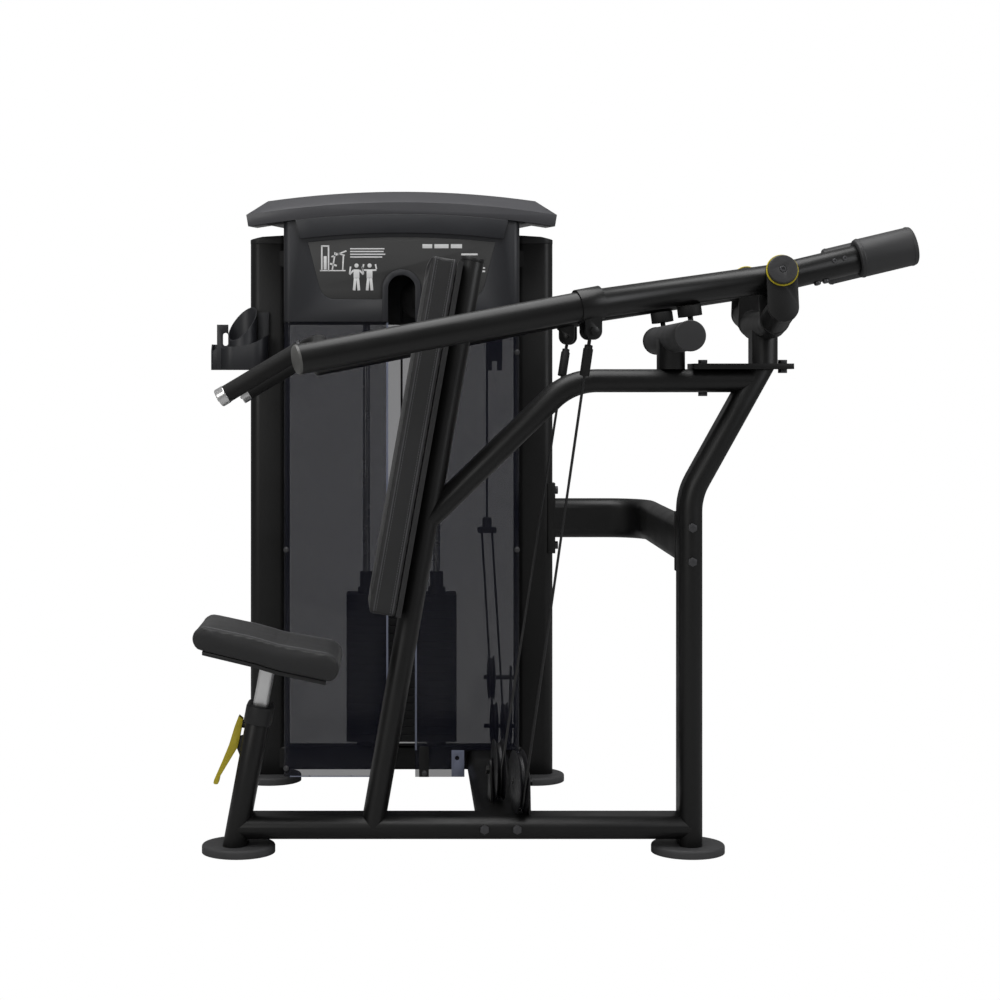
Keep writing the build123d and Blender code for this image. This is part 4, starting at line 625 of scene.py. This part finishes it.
def sewn_seam(pad, name, outside, inside, beside, body, sizes):
    """Piping laid round a pad where its panels meet, with a row of stitches beside it."""
    outside, inside = even(outside, inside)
    points = seam_path(pad, outside, inside, sizes.piping * 0.45)
    # the piping's lighter grey is a painted highlight along the seam
    settle(tube("piping_" + name, points, sizes.piping, closed=True, sides=3), body, "piping")
    line = seam_path(pad, [p + beside for p in outside], [p + beside for p in inside], mm(0.1))
    form = bmesh.new()
    verts = [form.verts.new(p) for p in line]
    for one, two in zip(verts, verts[1:] + verts[:1]):
        form.edges.new((one, two))
    mesh = bpy.data.meshes.new("stitches_" + name)
    form.to_mesh(mesh)
    form.free()
    row = run_tree(add_object("stitches_" + name, mesh), TREES["stitches"], Spacing=sizes.stitch)
    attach(row, body)


def back_point(depth, height, across):
    """A place on the back rest: depth behind the post's axis, height up the post, across from its middle."""
    return BACK_FOOT + BACK_REAR * mm(depth) + BACK_UP * mm(height) + Vector((0, mm(across), 0))


class PRESS_OT_back_pad(bpy.types.Operator):
    """The leaning back pad: foam on a board, wrapped in vinyl and piped round both faces"""
    bl_idname = "press.back_pad"
    bl_label = "Back pad"

    def execute(self, context):
        sizes = context.scene.press_sizes
        front, rear, low, high, half = -100.0, -34.0, 473.0, 1304.0, 135.0
        pad = skin("back_pad", "back_cushion")
        seam_front, seam_rear = mm(front + 14), mm(rear - 9)

        def held(place):
            depth = (place - BACK_FOOT).dot(BACK_REAR)
            return depth > seam_rear or abs(depth - seam_front) < mm(4)

        swell_foam(pad, held, sizes.swell, sizes.voxel)
        refine(pad)
        settle(pad, STATION, "vinyl")
        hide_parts("back_pad")
        shell = skin("back_shell", "back_pad_board")
        form = bmesh.new()
        form.from_mesh(shell.data)
        cut = bmesh.ops.bisect_plane(form, geom=form.verts[:] + form.edges[:] + form.faces[:], clear_outer=True,
                                     plane_co=back_point(-22, 0, 0), plane_no=BACK_REAR)
        bmesh.ops.edgeloop_fill(form, edges=[e for e in cut["geom_cut"] if isinstance(e, bmesh.types.BMEdge)])
        bmesh.ops.recalc_face_normals(form, faces=form.faces)
        form.to_mesh(shell.data)
        form.free()
        shade(shell.data)
        settle(shell, STATION, "vinyl")
        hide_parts("back_shell")
        middle = (high + low) / 2
        for name, depth, step in (("back_front", front + 14, 5.0), ("back_rear", rear - 9, -5.0)):
            outline = rounded(high - low, 2 * half, 20)
            outside = [back_point(depth, middle + a * 1.04, b * 1.2) for a, b in outline]
            inside = [back_point(depth, middle + a * 0.88, b * 0.5) for a, b in outline]
            sewn_seam(pad, name, outside, inside, BACK_REAR * mm(step), STATION, sizes)
        return {"FINISHED"}


class PRESS_OT_seat_pad(bpy.types.Operator):
    """The seat pad: foam on a board, a waterfall front, and piping where the side panels meet the band"""
    bl_idname = "press.seat_pad"
    bl_label = "Seat pad"

    def execute(self, context):
        sizes = context.scene.press_sizes
        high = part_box("seat_pad")[1]
        under = skin("seat_board", "board_copy")
        tree = BVHTree.FromObject(under, context.evaluated_depsgraph_get())
        pad = skin("seat_pad", "seat_cushion")
        seam = high.y - mm(13)
        swell_foam(pad, lambda p: abs(abs(p.y) - seam) < mm(4) or tree.find_nearest(p)[3] < mm(8),
                   sizes.swell, sizes.voxel)
        bpy.data.objects.remove(under)
        refine(pad)
        settle(pad, "seat", "vinyl")
        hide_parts("seat_pad")
        axis_low, axis_high = mm(-60, 0, 516), mm(200, 0, 450)
        for side, name in ((-1, "near"), (1, "far")):
            y = side * seam
            outside, inside = [], []
            for degree in range(0, 360, 6):
                turn = math.radians(degree)
                share = 0.5 + 0.5 * math.cos(turn)
                heart = axis_low.lerp(axis_high, share)
                ray = Vector((math.cos(turn) * 1.9, 0, math.sin(turn)))
                outside.append(heart + ray * mm(95) + Vector((0, y, 0)))
                inside.append(heart + Vector((0, y, 0)))
            sewn_seam(pad, "seat_" + name, outside, inside, Vector((0, -side * mm(5), 0)), "seat", sizes)
        return {"FINISHED"}


# ---------------------------------------------------------------- frame, arms and wheels
FINISH_OF = {
    "frame_black": ("paint", 0.8), "arm_black": ("arm_paint", 0.8), "foot_rubber": ("foot", 0.8),
    "shell_plastic": ("shell", 0.8), "smoke_panel": ("smoke", 0.0), "head_plastic": ("head", 1.0),
    "cap_plastic": ("cap", 3.0), "cup_plastic": ("cup", 0.5), "plate_iron": ("iron", 1.2),
    "rod_steel": ("satin", 0.5), "bolt_steel": ("bolt", 0.6), "cable_sheath": ("cable", 0.0),
    "pulley_plastic": ("nylon", 0.5), "grip_rubber": ("grip", 0.6), "knob_metal": ("knob", 0.8),
    "lever_yellow": ("yellow", 0.8),
}
MADE_ELSEWHERE = ("back_pad", "seat_pad", "near_cable_drop", "far_cable_drop", "stack_cable", "yoke_cable",
                  "arm_cable_rises", "resting_plates", "lifted_plates", "back_shell", "head_cap")
OTHER_FINISH = {"near_counterweight": "weight", "far_counterweight": "weight", "seat_post": "chrome",
                "pop_pin": "chrome", "rear_shroud": "smoke_rear_painted_backlight"}


class PRESS_OT_frame(bpy.types.Operator):
    """Tubes, plates, housings and wheels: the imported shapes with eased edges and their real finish"""
    bl_idname = "press.frame"
    bl_label = "Frame and housings"

    def execute(self, context):
        bodies = frame["record"]["behaviour"]["bodies"]
        home = {node: body for body, nodes in bodies.items() for node in nodes}
        for part in frame["record"]["subparts"]:
            node = part["node"]
            if node in MADE_ELSEWHERE:
                continue
            finish, ease = FINISH_OF[part["material_slot"]]
            refinish(node, home[node], OTHER_FINISH.get(node, finish), ease)
        return {"FINISHED"}


class PRESS_OT_housing_trims(bpy.types.Operator):
    """The arched cap, the bumper's sleeve and end discs, the shroud's tabs and its polished slot edges, whose light
    grey-blue is a painted glint
    """
    bl_idname = "press.housing_trims"
    bl_label = "Housing trims"

    def execute(self, context):
        self.arched_cap()
        self.bumper()
        self.shroud_fittings()
        return {"FINISHED"}

    def arched_cap(self):
        """The cap, its overhanging ends cut so that their underside rises to the rear."""
        cap = skin("head_cap", "arched_cap", ease=2.5)
        low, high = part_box("head_cap")
        for vertex in cap.data.vertices:
            place = vertex.co
            overhang = abs(place.x - TOWER_X) - HEAD_HALF
            arch = CAP_UNDER - CAP_ARCH + math.sqrt(CAP_ARCH ** 2 - (place.x - TOWER_X) ** 2)
            if overhang > 0 and place.z < arch + mm(12):
                back = (place.y - low.y) / (high.y - low.y)
                place.z += mm(22) * back * min(1.0, overhang / mm(20))
        cap.data.update()
        settle(cap, STATION, "cap")
        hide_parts("head_cap")

    def bumper(self):
        """A sleeve round the bumper bar and a disc on each of its ends."""
        across = Vector((0, 1, 0))
        sleeve = turned("bumper_sleeve", BUMPER, across, [(-292, 0), (-292, 32), (-291, 33.5), (291, 33.5), (292, 32),
                                                          (292, 0)])
        settle(sleeve, STATION, "weight")
        disc = turned("bumper_disc", BUMPER, -across, [(299, 0), (299, 34.7), (301, 34.7), (302.4, 33.2), (302.8, 30),
                                                       (303.2, 0)])
        settle_pair(disc, "bumper_disc", STATION, STATION, "weight")

    def shroud_fittings(self):
        """The bracket, tab and bolts at the shroud's foot, and its cut edges; the clear tab and the edges are painted
        an opaque light grey-blue as a painted glint.
        """
        origin = Vector((TOWER_X, SHROUD_FRONT, 0))
        x_dir, z_dir = (1, 0, 0), (0, 0, 1)
        dark = slab("shroud_bracket", origin, x_dir, z_dir,
                    [[(47, 40), (73, 40), (73, 118), (69, 122), (51, 122), (47, 118)]], 0.2, 2.6)
        settle(dark, STATION, "paint")
        # the clear tab is painted opaque light grey-blue, a painted glint in place of the clear plastic
        clear = slab("shroud_tab", origin, x_dir, z_dir,
                     [[(134, 41), (168, 41), (168, 112), (134, 112)], ring((149, 91), 6)], 0.2, 3.0)
        settle(clear, STATION, "edge")
        bolts = [turned("shroud_bolt", origin + mm(x, -out, z), (0, -1, 0),
                        [(0, 0), (0, 7.6), (1.2, 7.6), (2.2, 6.8), (2.2, 5.2), (5.4, 5.0), (6.2, 4.2), (6.2, 0)],
                        steps=24) for x, z, out in ((61, 50, 2.4), (-310, 63, 0), (-310, 1180, 0), (310, 1180, 0),
                                                    (310, 650, 0), (-310, 650, 0))]
        settle(join("shroud_bolts", bolts), STATION, "bolt")
        # the slot edges and the bottom strip are painted light grey-blue, a painted glint along the cut edges
        lips = [slab("lip", origin + mm(side * 38.5, 0, 0), x_dir, z_dir,
                     [[(-2.6, 112), (2.6, 112), (2.6, 1260), (-2.6, 1260)]], 0.1, 1.4) for side in (-1, 1)]
        settle(join("slot_edges", lips), STATION, "edge")
        strip = slab("bottom_edge", origin, x_dir, z_dir,
                     [[(-300, 40), (-250, 40), (-247, 46), (-244, 40), (-138, 40), (-135, 46), (-132, 40),
                       (-38, 40), (-38, 43), (-300, 43)]], 0.1, 1.2, ease=0.1)
        settle(strip, STATION, "edge")


class PRESS_OT_weight_stack(bpy.types.Operator):
    """The enamelled plates: those at rest, and those that the selector pin lifts"""
    bl_idname = "press.weight_stack"
    bl_label = "Weight stack"

    def execute(self, context):
        wide, deep, thick, pitch = 302.0, 110.0, 20.7, 21.2
        for node, name, body, count in (("resting_plates", "resting_stack", STATION, 14),
                                        ("lifted_plates", "raised_stack", "lifted_stack", 4)):
            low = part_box(node)[0].z
            outlines = [rounded(wide, deep, 7), ring((-97, 0), 12.5), ring((97, 0), 12.5), ring((0, 0), 14.5)]
            origin = Vector((TOWER_X, TOWER_Y, low))
            plate = slab(name, origin, (1, 0, 0), (0, 1, 0), outlines, 0, thick, ease=1.6)
            run_tree(plate, TREES["stack"], Plates=count, Pitch=mm(pitch))
            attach(plate, body)
            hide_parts(node)
        return {"FINISHED"}


# ---------------------------------------------------------------- cables
DROPS = (
    # side, tangent on the base pulley, lower end of the terminal at rest, and with the arm fully up
    ("near", mm(665.914, -63.428, 149.082), mm(785.1, -289.4, 1116.3), mm(771.6, -242.6, 1345.6)),
    ("far", mm(620.509, 85.521, 178.345), mm(780.6, 290.9, 1116.6), mm(767.9, 244.0, 1345.8)),
)


def straight(start, end, steps=24):
    """Points along a straight run, close enough together to bend with a joint."""
    return [start.lerp(end, i / steps) for i in range(steps + 1)]


class PRESS_OT_cables(bpy.types.Operator):
    """Coated wire ropes, laid as straight runs in place of the frame's cables"""
    bl_idname = "press.cables"
    bl_label = "Cables"

    def execute(self, context):
        radius = mm(3)
        for side, foot, top, raised in DROPS:
            body, node = side + "_cable_end", side + "_cable_drop"
            lean = raised - foot
            level = foot + lean * ((top.z - foot.z) / lean.z) - top
            level.z = 0
            run = tube(side + "_drop_rope", straight(foot, top), radius, sides=4)
            settle(run, STATION, "cable")
            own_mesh(run)
            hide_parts(node)
            sheath = tube(side + "_drop_sheath", straight(top, top.lerp(foot, 0.245)), mm(3.15), sides=4)
            settle(sheath, body, "cable")
        for node, body, ends in (
            ("stack_cable", "lifted_stack", ((TOWER_X, TOWER_Y),)),
            ("yoke_cable", "cable_yoke", ((mm(618), TOWER_Y),)),
        ):
            low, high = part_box(node)
            x, y = ends[0]
            rope = tube(node + "_rope", straight(Vector((x, y, high.z)), Vector((x, y, low.z)), 60), radius)
            self.stretch(rope, node, body, high.z, low.z)
        low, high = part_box("arm_cable_rises")
        y = (low.y + high.y) / 2
        ropes = [tube("rise", straight(Vector((x, y, low.z)), Vector((top_x, y, high.z)), 50), radius)
                 for x, top_x in ((mm(664), mm(632)), (mm(635), mm(604)))]
        self.stretch(join("arm_cable_ropes", ropes), "arm_cable_rises", "cable_yoke", low.z, high.z)
        return {"FINISHED"}

    def stretch(self, rope, node, body, fixed, moving):
        """Gives a rope its cable coat, fixes its placing into its mesh and hides the CAD node it stands in for."""
        rope.data.materials.clear()
        rope.data.materials.append(MATERIALS["cable"])
        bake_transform(rope)
        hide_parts(node)


# ---------------------------------------------------------------- arm fittings
class PRESS_OT_arm_fittings(bpy.types.Operator):
    """End plugs, grip caps and collars, set screws, stop nubs, counterweight rims, and pivot rings and screws for
    both arms
    """
    bl_idname = "press.arm_fittings"
    bl_label = "Arm fittings"

    def execute(self, context):
        arm = (ARM_COLLAR - ARM_END).normalized()
        plug = turned("end_plug", ARM_END, -arm, [(-6, 0), (-6, 28.6), (0, 28.6), (0, 32.4), (5, 31.6), (9, 27),
                                                  (11.5, 18), (12.5, 8), (12.6, 0)])
        settle_pair(plug, "end_plug", NEAR_ARM, FAR_ARM, "endcap")
        handle = (HANDLE_TOP - HANDLE_LOW).normalized()
        cap = turned("grip_cap", HANDLE_LOW, handle, [(-2.6, 0), (-2.6, 3.2), (-5.4, 3.4), (-5.4, 5.8),
                                                      (-2.6, 6.2), (-2.6, 18.6), (-0.6, 20.6), (17.5, 20.6),
                                                      (18.5, 19.7), (18.5, 19.55)])
        settle_pair(cap, "grip_cap", NEAR_ARM, FAR_ARM, "satin")
        collar = turned("grip_collar", HANDLE_LOW, handle, [(208, 19.2), (208, 21), (212.4, 21), (213.4, 20),
                                                            (213.4, 16.1)])
        settle_pair(collar, "grip_collar", NEAR_ARM, FAR_ARM, "bolt")
        ring_out = 64.0
        band = turned("pivot_ring", PIVOT, PIVOT_OUT, [(58.6, 33.4), (58.6, 35.6), (59.4, 36.2), (61.4, 36.2),
                                                       (62.2, 35.6), (62.2, 33.4)])
        settle_pair(band, "pivot_ring", STATION, STATION, "yellow")
        screw = turned("pivot_screw", PIVOT, PIVOT_OUT, [(ring_out, 0), (ring_out + 6.5, 0.01), (ring_out + 6.5, 3.4),
                                                         (ring_out + 9.5, 3.6), (ring_out + 9.5, 6.4),
                                                         (ring_out + 8.6, 7.4), (ring_out, 7.4)], steps=32)
        settle_pair(screw, "pivot_screw", STATION, STATION, "bolt")
        tail = TAIL.normalized()
        side = tail.cross(PIVOT_UP).normalized()
        side = side if side.y < 0 else -side
        heads = []
        for along in (128, 152):
            spot = PIVOT + tail * mm(along) + side * mm(31.5)
            heads.append(turned("set_screw", spot, side, [(-2, 0), (-2, 5.4), (1.8, 5.4), (2.4, 4.8), (2.4, 2.4),
                                                          (0.6, 2.3), (0.6, 0)], steps=24))
        settle_pair(join("set_screws", heads), "set_screws", NEAR_ARM, FAR_ARM, "bolt")
        down = side.cross(tail).normalized()
        down = down if down.z < 0 else -down
        nubs = [turned("nub", PIVOT + tail * mm(along) + down * mm(30.5), down,
                       [(-2, 0), (-2, 8), (5, 8), (7, 6), (7, 0)], steps=24) for along in (84, 104)]
        settle_pair(join("stop_nubs", nubs), "stop_nubs", NEAR_ARM, FAR_ARM, "bolt")
        seams = [turned("weight_rim", PIVOT + tail * mm(start), tail,
                        [(0, 43.2), (0, 44.5), (1.2, 45.0), (3.2, 45.0), (4.4, 44.5), (4.4, 43.2)])
                 for start in (192, 308)]
        settle_pair(join("weight_rims", seams), "weight_rims", NEAR_ARM, FAR_ARM, "weight")
        return {"FINISHED"}


# ---------------------------------------------------------------- placard
FACE_Y = mm(699.5)


def on_face(name, outlines, low, high, finish, ease=0.05):
    """A flat piece on the head's placard recess, drawn about the tower's middle."""
    piece = slab(name, Vector((TOWER_X, FACE_Y, 0)), (1, 0, 0), (0, 0, 1), outlines, low, high, ease)
    return settle(piece, STATION, finish)


def stroke(start, end, width):
    """The outline of a bar between two points."""
    a, b = Vector(start), Vector(end)
    side = (b - a).normalized().orthogonal() * width / 2
    return [tuple(a + side), tuple(a - side), tuple(b - side), tuple(b + side)]


def bars(x, z, lengths, step, height):
    """Rows of plain bars, one under another."""
    return [[(x, z - i * step), (x + length, z - i * step), (x + length, z - i * step + height),
             (x, z - i * step + height)] for i, length in enumerate(lengths)]


def figure(x, foot, height, raised):
    """A standing person in plain strokes, with the arms bent or raised."""
    unit = height / 8
    strokes = [stroke((x - unit * 0.7, foot), (x - unit * 0.35, foot + unit * 3.6), unit * 0.8),
               stroke((x + unit * 0.7, foot), (x + unit * 0.35, foot + unit * 3.6), unit * 0.8),
               stroke((x, foot + unit * 3.65), (x, foot + unit * 6.1), unit * 1.7)]
    hand = foot + unit * (7.6 if raised else 6.9)
    for side in (-1, 1):
        elbow = (x + side * unit * 2.0, foot + unit * (5.9 if raised else 4.6))
        strokes.append(stroke((x + side * unit * 0.86, foot + unit * 5.85), elbow, unit * 0.5))
        strokes.append(stroke((elbow[0], elbow[1] + unit * 0.3), (x + side * unit * 1.7, hand), unit * 0.45))
    return strokes + [ring((x, foot + unit * 7.2), unit * 0.62, 16)]


class PRESS_OT_placard(bpy.types.Operator):
    """The dark placard film with a plain machine drawing, two figures and rows of bars"""
    bl_idname = "press.placard"
    bl_label = "Placard"

    def execute(self, context):
        left = [(-251, 1475), (-221, 1356)] + arc((-178, 1366), 43, 193, 270, 6)
        right = [(-x, z) for x, z in reversed(left)]
        window = [(52.5, 1323)] + arc((0, 1350.5), 52.5, 0, 180, 16) + [(-52.5, 1323)]
        top = [(251 - 502 * i / 12, 1475 + 14 * (1 - (1 - i / 6) ** 2)) for i in range(1, 12)]
        on_face("placard_film", [left + window[::-1] + right + top], 0.1, 0.7, "plaque")
        machine = [stroke((-219, 1399), (-150, 1399), 3), stroke((-214, 1399), (-214, 1464), 4),
                   stroke((-196, 1399), (-196, 1464), 4), stroke((-216, 1465), (-194, 1465), 4),
                   stroke((-186, 1401), (-178, 1448), 4), stroke((-178, 1446), (-152, 1440), 3),
                   stroke((-158, 1401), (-156, 1440), 4), stroke((-205, 1402), (-205, 1438), 8),
                   stroke((-192, 1418), (-174, 1412), 5), stroke((-188, 1436), (-148, 1452), 4)]
        people = figure(-121, 1346, 74, False) + figure(-86, 1346, 74, True)
        rows = bars(-138, 1456, (92, 90, 94, 86), 7.4, 3.4)
        title = bars(56, 1459, (26,), 1, 11) + bars(88, 1459, (38,), 1, 11) + bars(132, 1459, (30,), 1, 11)
        small = bars(160, 1440, (44,), 1, 5) + bars(202, 1404, (22, 22), 9, 4)
        for name, shapes in (("print_machine", machine), ("print_figures", people), ("print_rows", rows),
                             ("print_title", title), ("print_notes", small)):
            parts = [slab("mark", Vector((TOWER_X, FACE_Y, 0)), (1, 0, 0), (0, 0, 1), [shape], 0.7, 0.95, 0.02)
                     for shape in shapes]
            settle(join(name, parts), STATION, "ink")
        return {"FINISHED"}


# ---------------------------------------------------------------- studio
class PRESS_OT_stage(bpy.types.Operator):
    """Pale floor, soft overhead light and the camera level with the press handles"""
    bl_idname = "press.stage"
    bl_label = "Stage"

    def execute(self, context):
        scene = context.scene
        scene.view_settings.view_transform = "Standard"
        world = bpy.data.worlds.new("Studio")
        world.use_nodes = True
        tree = world.node_tree
        tree.nodes.clear()
        seen = put(tree, "ShaderNodeLightPath").outputs["Is Camera Ray"]
        level = put(tree, "ShaderNodeMapRange", {"Value": seen, "To Min": 0.22, "To Max": 1.0})
        sky = put(tree, "ShaderNodeBackground", {"Color": (1, 1, 1, 1), "Strength": level.outputs["Result"]})
        put(tree, "ShaderNodeOutputWorld", {"Surface": sky.outputs[0]})
        scene.world = world
        for name, place, size, power, colour in (
            ("Overhead", (0.4, -0.2, 4.2), 3.4, 130.0, (1, 1, 1)),
            ("Front", (-2.6, -4.2, 2.6), 2.4, 52.0, (1, 0.99, 0.97)),
            ("Side", (3.8, -2.0, 2.4), 1.8, 30.0, (0.97, 0.98, 1)),
        ):
            lamp = bpy.data.lights.new(name, "AREA")
            lamp.energy = power
            lamp.size = size
            lamp.color = colour
            holder = bpy.data.objects.new(name, lamp)
            scene.collection.objects.link(holder)
            holder.location = place
            aim = Vector((0.6, 0.3, 0.8)) - holder.location
            holder.rotation_euler = aim.to_track_quat("-Z", "Y").to_euler()
        self.floor()
        camera = bpy.data.objects.new("Camera", bpy.data.cameras.new("Camera"))
        scene.collection.objects.link(camera)
        camera.location = (0.382, -4.853, 1.1057)
        camera.rotation_euler = (math.pi / 2, 0, 0)
        camera.data.lens = 74.52
        camera.data.sensor_width = 36
        camera.data.shift_x = 0.0984
        camera.data.shift_y = -0.12
        scene.camera = camera
        return {"FINISHED"}

    def floor(self):
        """A pale floor that reads as the white sweep of a studio."""
        form = bmesh.new()
        bmesh.ops.create_grid(form, x_segments=1, y_segments=1, size=12)
        mesh = bpy.data.meshes.new("Floor")
        form.to_mesh(mesh)
        form.free()
        floor = add_object("Floor", mesh)
        material = bpy.data.materials.new("White_sweep")
        material.use_nodes = True
        tree = material.node_tree
        tree.nodes.clear()
        seen = put(tree, "ShaderNodeLightPath").outputs["Is Camera Ray"]
        paper = put(tree, "ShaderNodeBsdfDiffuse", {"Color": linear("#b4b4b4")})
        glow = put(tree, "ShaderNodeEmission", {"Color": (1, 1, 1, 1), "Strength": 1.0})
        both = put(tree, "ShaderNodeMixShader", {0: seen, 1: paper.outputs[0], 2: glow.outputs[0]})
        put(tree, "ShaderNodeOutputMaterial", {"Surface": both.outputs[0]})
        mesh.materials.append(material)


class PRESS_PT_panel(bpy.types.Panel):
    """Sizes, colours and steps of the press"""
    bl_label = "Shoulder press"
    bl_space_type = "VIEW_3D"
    bl_region_type = "UI"
    bl_category = "Press"

    def draw(self, context):
        for group in (context.scene.press_looks, context.scene.press_sizes):
            for name in type(group).__annotations__:
                self.layout.prop(group, name)
        for step in STEPS:
            self.layout.operator(step.bl_idname)


STEPS = (PRESS_OT_stage, PRESS_OT_frame, PRESS_OT_housing_trims, PRESS_OT_weight_stack, PRESS_OT_cables,
         PRESS_OT_arm_fittings, PRESS_OT_placard, PRESS_OT_back_pad, PRESS_OT_seat_pad)
CLASSES = (PressLooks, PressSizes, *STEPS, PRESS_PT_panel)


def register():
    """Adds the press's settings, steps and panel to Blender."""
    for item in CLASSES:
        bpy.utils.register_class(item)
    bpy.types.Scene.press_looks = PointerProperty(type=PressLooks)
    bpy.types.Scene.press_sizes = PointerProperty(type=PressSizes)


def unregister():
    """Takes them out again."""
    del bpy.types.Scene.press_sizes
    del bpy.types.Scene.press_looks
    for item in reversed(CLASSES):
        bpy.utils.unregister_class(item)


def main():
    """Builds the dressed press."""
    register()
    MATERIALS.update(build_materials(bpy.context.scene.press_looks))
    TREES.update(stitches=stitch_tree(), stack=stack_tree())
    for step in STEPS:
        group, name = step.bl_idname.split(".")
        getattr(getattr(bpy.ops, group), name)()


if __name__ == "__main__":
    main()
